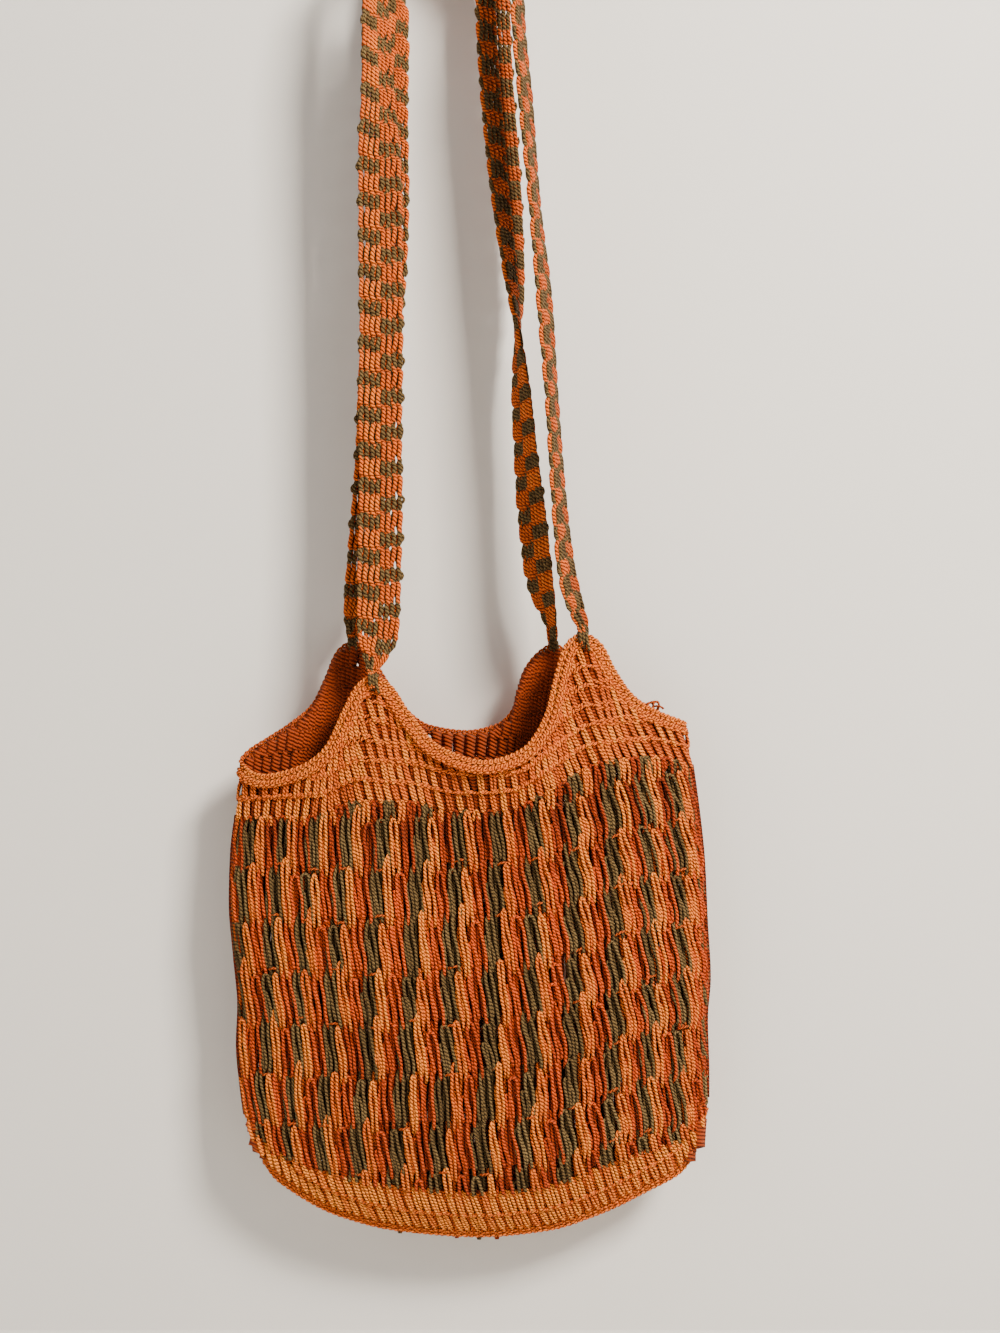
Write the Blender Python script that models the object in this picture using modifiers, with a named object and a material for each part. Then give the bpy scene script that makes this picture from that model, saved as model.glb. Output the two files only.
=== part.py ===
"""Bilum string bag, hanging empty from its two knitted shoulder straps.

Metres, +Z up, +X to the right of someone who faces the bag, -Y towards them, +Y towards the
wall behind it.  The origin is the hang point, where both straps lie over the peg that holds
them.  The tables below are in millimetres in the same frame.
"""
import math

import bmesh
import bpy
import numpy as np

MM = 0.001

# ---------------------------------------------------------------- driving dimensions, mm
CLOTH_THICK = 2.4          # looped fabric of pouch, yoke and bottom band
STRAP_THICK = 3.0
STRAP_WIDTH = 31.0         # eight strands side by side
STRAP_TIP_WIDTH = 8.0
CORD_RADIUS = 2.5          # chain-stitched edging, round the mouth and under the seam
KNOT_RADIUS = 5.3          # the strap's tied end goes round the rim edging in a ring
KNOT_YARN_RADIUS = 2.1
SIDE_FOLD_RADIUS = 4.0     # how sharply the cloth turns at the pouch's two sides
GAP = 0.35                 # left between neighbouring solids
SEAM_LIFT = 0.6            # gap between yoke and stripes
EDGE_GAP = 0.9             # gap between yoke and rim edging
BAND_GAP = 0.006           # gap between stripes and bottom band, as a share of the pouch's height
POUCH_TOP = 0.002          # where the stripes start, as the same share
SIDE_FULLNESS = 2.2        # power of the panels' bulge: the higher, the fuller towards the sides
KNOT_CLEARANCE = 1.0       # between a knot's underside and the yoke's edge
KNOT_REACH = 0.03          # how far along the rim the yoke's edge dips either side of a knot
RIM_END_REACH = 0.03       # how far along the rim the yoke's edge turns at the two side ends
RIM_STEP = 0.004           # step along the rim over which its direction is read

PEG_LEG_HEIGHT = 50.0      # how far below the peg's top the straps leave their arch
FRONT, BACK = -1.0, 1.0    # the two panels, by the sign of their depth

# Mesh density
PANEL_STEPS = 30
POUCH_ROWS = 9
BAND_ROWS = 3
YOKE_STEPS = 44
YOKE_ROWS = 3
RIM_POINTS = 116
RIM_OVERLAP = 3            # points repeated at the closed rim's join, to keep it smooth there
PEAK_SEARCH_STEPS = 400
SEAM_POINTS = 40
STRAP_STEPS = 80
SIDE_TURN_ANGLES = (0, 35, 65, 90)     # degrees, where the cloth turns at a side edge
ARCH_STEP_ANGLE = 20                   # degrees, round the strap's arch over the peg


def table(columns, rows):
    """Rows of numbers under named columns."""
    values = np.array(rows, float)
    return {name: values[:, i] for i, name in enumerate(columns.split())}


# Both side edges of the pouch, from the yoke (down 0) to the bottom corners (down 1).
SIDES = table("down left right", [
    (0.00, -145, 170),
    (0.12, -148, 174),
    (0.28, -149, 178),
    (0.46, -146, 180),
    (0.62, -143, 182),
    (0.74, -144, 180),
    (0.90, -141, 181),
    (1.00, -138, 181),
])

# Height of the line where stripes meet yoke, across each panel from left to right.
YOKE_LINE = table("across front back", [
    (0.00, -643, -643),
    (0.17, -641, -636),
    (0.28, -630, -633),
    (0.37, -630, -632),
    (0.48, -637, -632),
    (0.58, -637, -630),
    (0.68, -623, -625),
    (0.80, -604, -614),
    (0.90, -601, -609),
    (1.00, -608, -608),
])

# The bottom seam, from the left corner round to the right one.
SEAM = table("across x z", [
    (0.000, -138, -857),
    (0.030, -127, -876),
    (0.080, -111, -892),
    (0.200, -72, -914),
    (0.330, -31, -924),
    (0.500, 23, -928),
    (0.640, 68, -924),
    (0.760, 106, -912),
    (0.860, 137, -897),
    (0.930, 159, -885),
    (0.975, 173, -870),
    (1.000, 181, -846),
])

# How far each panel stands out from the side edges' plane, down the pouch.
BELLY = table("down front back", [
    (0.00, 28, 15),
    (0.15, 31, 17),
    (0.40, 35, 18),
    (0.65, 32, 17),
    (0.85, 23, 13),
    (0.95, 13, 8),
    (1.00, 4, 4),
])

# Soft upright folds: where they are, how wide, how far out, and down to where they fade.
FOLDS = table("side across width out fade", [
    (FRONT, 0.30, 0.07, 4.0, 0.8),
    (FRONT, 0.50, 0.12, -5.0, 0.7),
    (FRONT, 0.68, 0.06, 2.5, 1.2),
    (FRONT, 0.86, 0.06, 3.5, 1.0),
    (FRONT, 0.12, 0.05, -2.5, 1.2),
    (BACK, 0.26, 0.06, 2.5, 0.8),
    (BACK, 0.48, 0.12, -3.0, 0.8),
    (BACK, 0.70, 0.07, 2.5, 0.8),
])

# The rim's edging: left end, front peak, scoop and peak, right end, and back again.
RIM_FRONT = table("x y z", [
    (-141, 0, -609),
    (-139.5, -3.5, -612.5),
    (-135, -7, -616),
    (-125, -12, -618),
    (-99, -20, -612),
    (-79, -24, -598),
    (-65, -24, -570),
    (-56, -22, -554),
    (-49, -22, -550),
    (-41, -22, -554),
    (-28, -25, -572),
    (-5, -31, -597),
    (27, -35, -607),
    (54, -33, -599),
    (72, -28, -573),
    (79, -23, -546),
    (86, -20, -526),
    (94, -19, -521),
    (103, -18, -526),
    (113, -16, -544),
    (127, -13, -563),
    (147, -8, -575),
    (160, -5.5, -580),
    (163.5, -3.5, -581.5),
    (165, 0, -582.5),
])
RIM_BACK = table("x y z", [
    (165, 0, -582.5),
    (163.5, 3.5, -582),
    (160, 5.5, -581),
    (147, 8, -577),
    (126, 10, -567),
    (102, 12, -552),
    (84, 12, -532),
    (75, 12, -527),
    (66, 12, -532),
    (56, 13, -546),
    (50, 15, -569),
    (37, 17, -583),
    (14, 18, -588),
    (-13, 17, -584),
    (-33, 15, -569),
    (-47, 13, -547),
    (-58, 12, -530),
    (-66, 11, -525),
    (-74, 11, -530),
    (-83, 11, -550),
    (-92, 10, -568),
    (-108, 7, -582),
    (-125, 7, -593),
    (-135, 5, -600),
    (-139.5, 3, -605),
    (-141, 0, -609),
])

# The strap legs.  turn is how far the flat of the band is turned from facing the viewer.
FRONT_LEFT_LEG = table("x y z width turn", [
    (-49, -22, -542, STRAP_TIP_WIDTH, 0),
    (-48, -22, -533, 17, 0),
    (-46, -21, -519, 29, 0),
    (-45, -20, -490, STRAP_WIDTH, 2),
    (-44, -19, -400, STRAP_WIDTH, -4),
    (-44, -18, -289, STRAP_WIDTH, 5),
    (-45, -18, -207, STRAP_WIDTH, 12),
    (-46, -17, -152, STRAP_WIDTH, 46),
    (-48, -17, -84, STRAP_WIDTH, 62),
])
FRONT_RIGHT_LEG = table("x y z width turn", [
    (50, -17, -84, STRAP_WIDTH, 78),
    (55, -17, -152, STRAP_WIDTH, 74),
    (61, -18, -220, STRAP_WIDTH, 78),
    (68, -18, -289, STRAP_WIDTH, 72),
    (73, -19, -357, STRAP_WIDTH, 76),
    (78, -19, -426, STRAP_WIDTH, 73),
    (83, -19, -474, 29, 66),
    (90, -19, -502, 18, 56),
    (94, -19, -513, STRAP_TIP_WIDTH, 50),
])
BACK_LEFT_LEG = table("x y z width turn", [
    (-66, 11, -517, STRAP_TIP_WIDTH, 20),
    (-64, 11, -507, 18, 20),
    (-59, 12, -488, 29, 22),
    (-55, 13, -450, STRAP_WIDTH, 28),
    (-51, 14, -387, STRAP_WIDTH, 30),
    (-47, 15, -317, STRAP_WIDTH, 26),
    (-41, 16, -240, STRAP_WIDTH, 30),
    (-39, 16, -141, STRAP_WIDTH, 46),
    (-37, 17, -71, STRAP_WIDTH, 60),
])
BACK_RIGHT_LEG = table("x y z width turn", [
    (33, 17, -71, STRAP_WIDTH, 36),
    (40, 16, -180, STRAP_WIDTH, 40),
    (48, 15, -270, STRAP_WIDTH, 66),
    (50, 15, -305, STRAP_WIDTH, 90),
    (53, 14, -352, STRAP_WIDTH, 112),
    (56, 14, -390, STRAP_WIDTH, 118),
    (61, 13, -440, STRAP_WIDTH, 128),
    (65, 12, -476, 30, 128),
    (72, 12, -505, 18, 120),
    (75, 12, -519, STRAP_TIP_WIDTH, 115),
])
PEG_DEPTH = {"front": -17.0, "back": 17.0}

# Which quarter of the rim, in its places from 0 to 2, holds each peak.
PEAKS = {
    "front_left": (0.0, 0.5),
    "front_right": (0.5, 1.0),
    "back_right": (1.0, 1.5),
    "back_left": (1.5, 2.0),
}


# ---------------------------------------------------------------- curves and surfaces
def smooth(stations, values, at):
    """Monotone cubic through a table's points, so that it never swings past them."""
    at = np.asarray(at, float)
    step = np.diff(stations)
    slope = np.diff(values) / step
    tangent = np.zeros(len(values))
    tangent[0], tangent[-1] = slope[0], slope[-1]
    before, after = slope[:-1], slope[1:]
    same = before * after > 0
    tangent[1:-1][same] = 2 * before[same] * after[same] / (before[same] + after[same])
    i = np.clip(np.searchsorted(stations, at, side="right") - 1, 0, len(step) - 1)
    s = (at - stations[i]) / step[i]
    rise = values[i + 1] - values[i]
    return (values[i] + rise * s * s * (3 - 2 * s)
            + step[i] * s * (1 - s) * (tangent[i] * (1 - s) - tangent[i + 1] * s))


def unit(vectors):
    return vectors / np.linalg.norm(vectors, axis=-1, keepdims=True)


def points_of(rows, *names):
    return np.stack([rows[name] for name in names], axis=-1)


def along(points):
    """Distance along a line of points, from 0 to 1."""
    run = np.concatenate([[0.0], np.cumsum(np.linalg.norm(np.diff(points, axis=0), axis=1))])
    return run / run[-1]


def smooth_line(stations, points, at):
    return np.stack([smooth(stations, points[:, i], at) for i in range(points.shape[1])], axis=-1)


def rim(at):
    """The rim's edging: at 0 the left end, 1 the right end, 2 the left end again."""
    front, back = points_of(RIM_FRONT, "x", "y", "z"), points_of(RIM_BACK, "x", "y", "z")
    places = np.concatenate([along(front), 1 + along(back)[1:]])
    points = np.concatenate([front, back[1:]])
    over = RIM_OVERLAP
    places = np.concatenate([places[-over - 1:-1] - 2, places, places[1:over + 1] + 2])
    points = np.concatenate([points[-over - 1:-1], points, points[1:over + 1]])
    return smooth_line(places, points, at)


def fold_out(side, across, down):
    """How far the soft folds push a panel outwards."""
    out = np.zeros_like(across)
    for fold in range(len(FOLDS["side"])):
        if FOLDS["side"][fold] == side:
            spread = (across - FOLDS["across"][fold]) / FOLDS["width"][fold]
            fade = np.clip(1 - down / FOLDS["fade"][fold], 0, 1)
            out += FOLDS["out"][fold] * np.exp(-spread ** 2) * fade
    return out


def pouch(side, across, down):
    """A point of the pouch, across a panel from left to right and down it to the seam."""
    across, down = np.broadcast_arrays(np.asarray(across, float), np.asarray(down, float))
    line = YOKE_LINE["front"] if side == FRONT else YOKE_LINE["back"]
    left_top = np.array([SIDES["left"][0], YOKE_LINE["front"][0]])
    right_top = np.array([SIDES["right"][0], YOKE_LINE["front"][-1]])
    left_foot = np.array([SEAM["x"][0], SEAM["z"][0]])
    right_foot = np.array([SEAM["x"][-1], SEAM["z"][-1]])
    a, d = across[..., None], down[..., None]

    top = np.stack([left_top[0] + (right_top[0] - left_top[0]) * across,
                    smooth(YOKE_LINE["across"], line, across)], axis=-1)
    foot = np.stack([smooth(SEAM["across"], SEAM["x"], across),
                     smooth(SEAM["across"], SEAM["z"], across)], axis=-1)
    left = np.stack([smooth(SIDES["down"], SIDES["left"], down),
                     left_top[1] + (left_foot[1] - left_top[1]) * down], axis=-1)
    right = np.stack([smooth(SIDES["down"], SIDES["right"], down),
                      right_top[1] + (right_foot[1] - right_top[1]) * down], axis=-1)
    corners = ((1 - d) * ((1 - a) * left_top + a * right_top)
               + d * ((1 - a) * left_foot + a * right_foot))
    flat = (1 - d) * top + d * foot + (1 - a) * left + a * right - corners

    width = right[..., 0] - left[..., 0]
    from_edge = np.minimum(across, 1 - across) * width / SIDE_FOLD_RADIUS
    turn = np.sqrt(1 - (1 - np.clip(from_edge, 0, 1)) ** 2)
    belly = smooth(BELLY["down"], BELLY["front" if side == FRONT else "back"], down)
    bulge = 1 - np.abs(2 * across - 1) ** SIDE_FULLNESS
    middle = belly - SIDE_FOLD_RADIUS + fold_out(side, across, down)
    out = turn * SIDE_FOLD_RADIUS + middle * bulge
    return np.stack([flat[..., 0], side * out, flat[..., 1]], axis=-1)


def band_line(across):
    """How far down the pouch the stripes stop and the tan bottom band starts."""
    return 0.90 + 0.07 * np.abs(2 * across - 1) ** 4


def panel_stations():
    """Places across a panel, close together where the cloth turns at the sides."""
    width = SIDES["right"][0] - SIDES["left"][0]
    fold = (1 - np.cos(np.radians(SIDE_TURN_ANGLES))) * SIDE_FOLD_RADIUS / width
    middle = np.linspace(fold[-1], 1 - fold[-1], PANEL_STEPS + 3 - 2 * len(fold))
    return np.concatenate([fold[:-1], middle, 1 - fold[-2::-1]])


def around(front_row, back_row):
    """One closed ring of points from a front row and a back row, both left to right."""
    return np.concatenate([front_row, back_row[-2:0:-1]])


# ---------------------------------------------------------------- Blender helpers
def fresh_scene():
    for thing in list(bpy.data.objects):
        bpy.data.objects.remove(thing, do_unlink=True)
    bag = bpy.data.collections.new("bilum_string_bag")
    bpy.context.scene.collection.children.link(bag)
    return bag


def yarn(name, color, roughness=0.85):
    material = bpy.data.materials.new(name)
    material.use_nodes = True
    shader = material.node_tree.nodes["Principled BSDF"]
    shader.inputs["Base Color"].default_value = (*color, 1.0)
    shader.inputs["Roughness"].default_value = roughness
    shader.inputs["Metallic"].default_value = 0.0
    return material


def place(bag, name, data, material):
    data.materials.append(material)
    piece = bpy.data.objects.new(name, data)
    bag.objects.link(piece)
    return piece


def cloth(bag, name, rows, thickness, material, ring=False, closed_foot=False):
    """A sheet through rows of points, given its thickness by Solidify."""
    mesh = bpy.data.meshes.new(name)
    shape = bmesh.new()
    grid = [[shape.verts.new(point * MM) for point in row] for row in rows]
    count = len(grid[0])
    for upper, lower in zip(grid[:-1], grid[1:]):
        for i in range(count if ring else count - 1):
            j = (i + 1) % count
            shape.faces.new((upper[i], lower[i], lower[j], upper[j]))
    if closed_foot:
        foot, half = grid[-1], count // 2
        for i in range(half):
            corners = (foot[i], foot[-i % count], foot[(-i - 1) % count], foot[i + 1])
            shape.faces.new(list(dict.fromkeys(corners)))
    bmesh.ops.recalc_face_normals(shape, faces=shape.faces)
    shape.to_mesh(mesh)
    shape.free()
    mesh.shade_smooth()
    piece = place(bag, name, mesh, material)
    solid = piece.modifiers.new("thickness", "SOLIDIFY")
    solid.thickness = thickness * MM
    solid.offset = 0.0
    solid.use_even_offset = True
    return piece


def cord(bag, name, points, material, ring=False):
    """A round cord along points."""
    curve = bpy.data.curves.new(name, "CURVE")
    curve.dimensions = "3D"
    curve.bevel_depth = CORD_RADIUS * MM
    curve.bevel_resolution = 1
    curve.use_fill_caps = not ring
    line = curve.splines.new("POLY")
    line.points.add(len(points) - 1)
    line.use_cyclic_u = ring
    for knot, point in zip(line.points, points):
        knot.co = (*(point * MM), 1.0)
    return place(bag, name, curve, material)


# ---------------------------------------------------------------- the pieces
def make_pouch(bag, material):
    """The striped pouch: a flattened tube, open above and below."""
    across = panel_stations()
    height = band_line(across) - BAND_GAP / 2 - POUCH_TOP
    rows = []
    for step in np.linspace(0, 1, POUCH_ROWS + 1):
        down = POUCH_TOP + height * step
        rows.append(around(pouch(FRONT, across, down), pouch(BACK, across, down)))
    cloth(bag, "striped_pouch", rows, CLOTH_THICK, material, ring=True)


def make_bottom_band(bag, material):
    """The plain band under the stripes, which closes the pouch along its seam."""
    across = panel_stations()
    start = band_line(across) + BAND_GAP / 2
    rows = []
    for step in np.linspace(0, 1, BAND_ROWS + 1):
        down = start + (1 - start) * step
        rows.append(around(pouch(FRONT, across, down), pouch(BACK, across, down)))
    cloth(bag, "bottom_band", rows, CLOTH_THICK, material, ring=True, closed_foot=True)


def place_of_peak(name):
    """Where along the rim a peak has its highest point."""
    places = np.linspace(*PEAKS[name], PEAK_SEARCH_STEPS)
    return places[np.argmax(rim(places)[:, 2])]


def rim_inset(places):
    """How far the yoke's edge keeps below the edging: more at a peak, where the knots are."""
    knots = np.array([place_of_peak(peak) for peak in PEAKS])
    to_knot = np.abs(places[:, None] - knots[None, :]).min(axis=1)
    dip = KNOT_RADIUS + KNOT_YARN_RADIUS + KNOT_CLEARANCE - CORD_RADIUS
    return CORD_RADIUS + EDGE_GAP + dip * np.exp(-(to_knot / KNOT_REACH) ** 2)


def yoke_edge(places):
    """The yoke's upper edge, set in from the edging along the cloth."""
    run = unit(rim(places + RIM_STEP) - rim(places - RIM_STEP))
    side = np.where(places < 1, 1.0, -1.0)
    across_run = unit(np.stack([run[:, 2] * side, 1e-6 + 0 * places, -run[:, 0] * side], axis=-1))
    below_run = np.array([0.0, 0.0, -1.0]) / np.sqrt(1 - run[:, 2:] ** 2)
    to_end = np.minimum(places % 1, 1 - places % 1)
    blend = np.clip(to_end / RIM_END_REACH, 0, 1)[:, None]
    inward = blend * across_run + (1 - blend) * below_run
    return rim(places) + inward * rim_inset(places)[:, None]


def make_yoke(bag, material):
    """The plain yoke that rises from the stripes into four peaks."""
    left, right = RIM_FRONT["x"][0], RIM_FRONT["x"][-1]
    steps = np.linspace(0, 1, YOKE_STEPS + 1)
    halves = []
    for side, places in ((FRONT, steps), (BACK, 2 - steps)):
        upper = yoke_edge(places)
        across = 0.5 * (rim(places)[:, 0] - left) / (right - left) + 0.5 * steps
        lower = pouch(side, across, 0 * across)
        lower[:, 2] += SEAM_LIFT
        halves.append((upper, lower))
    rows = []
    for step in np.linspace(0, 1, YOKE_ROWS + 1):
        rows.append(around(*[upper + (lower - upper) * step for upper, lower in halves]))
    cloth(bag, "yoke", rows, CLOTH_THICK, material, ring=True)


def make_edgings(bag, material):
    """The chain-stitched cords round the mouth and under the bottom seam."""
    places = np.arange(RIM_POINTS) * 2 / RIM_POINTS
    cord(bag, "rim_edging", rim(places), material, ring=True)
    across = np.linspace(0.0, 1.0, SEAM_POINTS)
    seam = smooth_line(SEAM["across"], points_of(SEAM, "x", "z"), across)
    run = np.gradient(seam, axis=0)
    outward = unit(np.stack([run[:, 1], -run[:, 0]], axis=-1))
    seam = seam + outward * (CLOTH_THICK / 2 + CORD_RADIUS + GAP)
    line = np.stack([seam[:, 0], 0 * across, seam[:, 1]], axis=-1)
    cord(bag, "seam_edging", line, material)


def over_peg(left_leg, right_leg, depth):
    """A strap's whole route: up its left leg, over the peg in an arch, down its right leg."""
    names = ("x", "y", "z", "width", "turn")
    up, down = points_of(left_leg, *names), points_of(right_leg, *names)
    middle = (up[-1, 0] + down[0, 0]) / 2
    reach = (down[0, 0] - up[-1, 0]) / 2
    arch = []
    for angle in np.radians(np.arange(180, -1, -ARCH_STEP_ANGLE)):
        arch.append((middle + reach * math.cos(angle), depth,
                     STRAP_THICK / 2 - PEG_LEG_HEIGHT * (1 - math.sin(angle)), STRAP_WIDTH, 90))
    return np.concatenate([up, arch, down])


def make_strap(bag, name, route, material):
    places = along(route[:, :3])
    samples = np.linspace(0, 1, STRAP_STEPS + 1)
    line = smooth_line(places, route, samples)
    centre, width, turn = line[:, :3], line[:, 3], np.radians(line[:, 4])
    run = unit(np.gradient(centre, axis=0))
    flat = np.stack([np.cos(turn), np.sin(turn), 0 * turn], axis=-1)
    flat = unit(flat - run * np.sum(flat * run, axis=1, keepdims=True))
    rows = [centre + flat * (width * share)[:, None] for share in (-0.5, 0.0, 0.5)]
    cloth(bag, name, rows, STRAP_THICK, material)


def make_knot(bag, name, peak, material):
    """The end of a strap, tied as a ring of yarn round the edging at a peak."""
    centre = rim(np.array([place_of_peak(peak)]))[0]
    bpy.ops.mesh.primitive_torus_add(
        major_radius=KNOT_RADIUS * MM, minor_radius=KNOT_YARN_RADIUS * MM,
        major_segments=12, minor_segments=6,
        location=centre * MM, rotation=(0, math.pi / 2, 0))
    piece = bpy.context.object
    piece.name = name
    piece.data.materials.append(material)
    for home in list(piece.users_collection):
        home.objects.unlink(piece)
    bag.objects.link(piece)


def make_bag():
    bag = fresh_scene()
    tan = yarn("tan_yarn", (0.74, 0.27, 0.07))
    striped = yarn("striped_yarn", (0.50, 0.16, 0.03))
    checked = yarn("checked_yarn", (0.35, 0.16, 0.05))
    olive = yarn("olive_yarn", (0.16, 0.12, 0.05))
    make_pouch(bag, striped)
    make_bottom_band(bag, tan)
    make_yoke(bag, tan)
    make_edgings(bag, tan)
    front_route = over_peg(FRONT_LEFT_LEG, FRONT_RIGHT_LEG, PEG_DEPTH["front"])
    back_route = over_peg(BACK_LEFT_LEG, BACK_RIGHT_LEG, PEG_DEPTH["back"])
    make_strap(bag, "strap_front", front_route, checked)
    make_strap(bag, "strap_back", back_route, checked)
    for peak in PEAKS:
        make_knot(bag, "strap_knot_" + peak, peak, olive)


make_bag()
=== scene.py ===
"""Yarn, colour and light for a looped-yarn string bag that hangs empty from two knitted straps.

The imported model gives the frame, in metres: +Z up, +X to the right of someone who faces the bag,
-Y towards them, and the origin at the hang point.  The tables and the working sizes below are in
millimetres in that frame.  They repeat the bag's own curves, which every yarn then follows.
"""

import math

import bpy
import numpy as np
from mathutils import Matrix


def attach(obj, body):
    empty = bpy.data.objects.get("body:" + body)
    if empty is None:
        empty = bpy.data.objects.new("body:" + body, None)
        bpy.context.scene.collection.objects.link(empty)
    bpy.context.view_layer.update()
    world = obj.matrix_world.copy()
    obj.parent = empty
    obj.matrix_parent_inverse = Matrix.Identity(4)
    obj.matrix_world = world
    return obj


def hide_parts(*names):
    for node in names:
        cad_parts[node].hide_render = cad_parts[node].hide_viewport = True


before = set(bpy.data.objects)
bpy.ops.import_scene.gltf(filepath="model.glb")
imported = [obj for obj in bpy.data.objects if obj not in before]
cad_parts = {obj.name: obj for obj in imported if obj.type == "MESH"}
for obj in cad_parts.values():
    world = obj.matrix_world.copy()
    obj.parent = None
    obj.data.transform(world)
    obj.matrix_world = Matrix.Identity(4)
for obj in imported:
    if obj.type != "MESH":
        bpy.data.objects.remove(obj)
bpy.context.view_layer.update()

MM = 0.001
FRONT, BACK = -1.0, 1.0

# ---------------------------------------------------------------- the bag's sizes, mm
CORD_RADIUS = 2.5
CLOTH_THICK = 2.4
SEAM_GAP = 0.35
SIDE_FOLD_RADIUS = 4.0
SIDE_FULLNESS = 2.2
STRAP_THICK = 3.0
STRAP_WIDTH = 31.0
STRAP_TIP_WIDTH = 8.0
PEG_LEG_HEIGHT = 50.0
ARCH_STEP_ANGLE = 20
RIM_OVERLAP = 3
RIM_STEP = 0.004
RIM_END_REACH = 0.03
PEAK_SEARCH_STEPS = 400

# ---------------------------------------------------------------- the yarn's sizes, mm
POUCH_YARN = 1.18          # radii
YOKE_YARN = 1.1
BEHIND_YARN = 2.3
CHAIN_YARN = 1.15
RUNG_YARN = 0.85
STRAP_YARN = 1.65
OLIVE_STRAP_YARN = 1.6
TIE_YARN = 1.25
BACK_RIM = 0.78            # the back rim against the front one
TWIST_PITCH = 5.2          # one full turn of the two plies
TWIST_STAGGER = 0.37       # of a turn, from one strand to the next
YARN_SIDES = 5             # corners round a strand that shows
HIDDEN_SIDES = 4           # and round one that lies behind

TIER = 35.0                # height of one tier of loops in the stripes
POUCH_DEPTH = 285.0        # from the yoke to the seam
PANEL_WIDTH = 322.0        # across one panel of the pouch
YOKE_ROW = 13.5
CLOSEST_STITCH = 3.2       # where the yoke narrows, every second stitch ends
YOKE_STITCHES = 53         # across one panel
BAND_ROW = 12.0
BAND_STITCHES = 54
BEHIND_REACH = 5.0         # how far the strands behind a cloth run on past its foot
CHAIN_REPEAT = 12.0        # one repeat of a chain's three strands
CHAIN_WIDTH = 1.8
STRAP_STRANDS = 8
CHECK_REPEAT = 24.3        # one tan and one olive block of a strap

TAN, OLIVE, RUST = 0, 1, 2
FORWARD = np.array([0.0, -1.0, 0.0])


def table(columns, rows):
    """Rows of numbers under named columns."""
    values = np.array(rows, float)
    return {name: values[:, i] for i, name in enumerate(columns.split())}


def each_row(rows):
    """The rows of a table one by one, each as named values."""
    return [dict(zip(rows, row)) for row in zip(*rows.values())]


# Both side edges of the pouch, from the yoke (down 0) to the bottom corners (down 1).
SIDES = table("down left right", [
    (0.00, -145, 170),
    (0.12, -148, 174),
    (0.28, -149, 178),
    (0.46, -146, 180),
    (0.62, -143, 182),
    (0.74, -144, 180),
    (0.90, -141, 181),
    (1.00, -138, 181),
])

# Height of the line where stripes meet yoke, across each panel from left to right.
YOKE_LINE = table("across front back", [
    (0.00, -643, -643),
    (0.17, -641, -636),
    (0.28, -630, -633),
    (0.37, -630, -632),
    (0.48, -637, -632),
    (0.58, -637, -630),
    (0.68, -623, -625),
    (0.80, -604, -614),
    (0.90, -601, -609),
    (1.00, -608, -608),
])

# The bottom seam, from the left corner round to the right one.
SEAM = table("across x z", [
    (0.000, -138, -857),
    (0.030, -127, -876),
    (0.080, -111, -892),
    (0.200, -72, -914),
    (0.330, -31, -924),
    (0.500, 23, -928),
    (0.640, 68, -924),
    (0.760, 106, -912),
    (0.860, 137, -897),
    (0.930, 159, -885),
    (0.975, 173, -870),
    (1.000, 181, -846),
])

# How far each panel stands out from the side edges' plane, down the pouch.
BELLY = table("down front back", [
    (0.00, 28, 15),
    (0.15, 31, 17),
    (0.40, 35, 18),
    (0.65, 32, 17),
    (0.85, 23, 13),
    (0.95, 13, 8),
    (1.00, 4, 4),
])

# Soft upright folds: where they are, how wide, how far out, and down to where they fade.
FOLDS = table("side across width out fade", [
    (FRONT, 0.30, 0.07, 4.0, 0.8),
    (FRONT, 0.50, 0.12, -5.0, 0.7),
    (FRONT, 0.68, 0.06, 2.5, 1.2),
    (FRONT, 0.86, 0.06, 3.5, 1.0),
    (FRONT, 0.12, 0.05, -2.5, 1.2),
    (BACK, 0.26, 0.06, 2.5, 0.8),
    (BACK, 0.48, 0.12, -3.0, 0.8),
    (BACK, 0.70, 0.07, 2.5, 0.8),
])

# The rim's edging: left end, front peak, scoop and peak, right end, and back again.
RIM_FRONT = table("x y z", [
    (-141, 0, -609),
    (-139.5, -3.5, -612.5),
    (-135, -7, -616),
    (-125, -12, -618),
    (-99, -20, -612),
    (-79, -24, -598),
    (-65, -24, -570),
    (-56, -22, -554),
    (-49, -22, -550),
    (-41, -22, -554),
    (-28, -25, -572),
    (-5, -31, -597),
    (27, -35, -607),
    (54, -33, -599),
    (72, -28, -573),
    (79, -23, -546),
    (86, -20, -526),
    (94, -19, -521),
    (103, -18, -526),
    (113, -16, -544),
    (127, -13, -563),
    (147, -8, -575),
    (160, -5.5, -580),
    (163.5, -3.5, -581.5),
    (165, 0, -582.5),
])
RIM_BACK = table("x y z", [
    (165, 0, -582.5),
    (163.5, 3.5, -582),
    (160, 5.5, -581),
    (147, 8, -577),
    (126, 10, -567),
    (102, 12, -552),
    (84, 12, -532),
    (75, 12, -527),
    (66, 12, -532),
    (56, 13, -546),
    (50, 15, -569),
    (37, 17, -583),
    (14, 18, -588),
    (-13, 17, -584),
    (-33, 15, -569),
    (-47, 13, -547),
    (-58, 12, -530),
    (-66, 11, -525),
    (-74, 11, -530),
    (-83, 11, -550),
    (-92, 10, -568),
    (-108, 7, -582),
    (-125, 7, -593),
    (-135, 5, -600),
    (-139.5, 3, -605),
    (-141, 0, -609),
])

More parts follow.
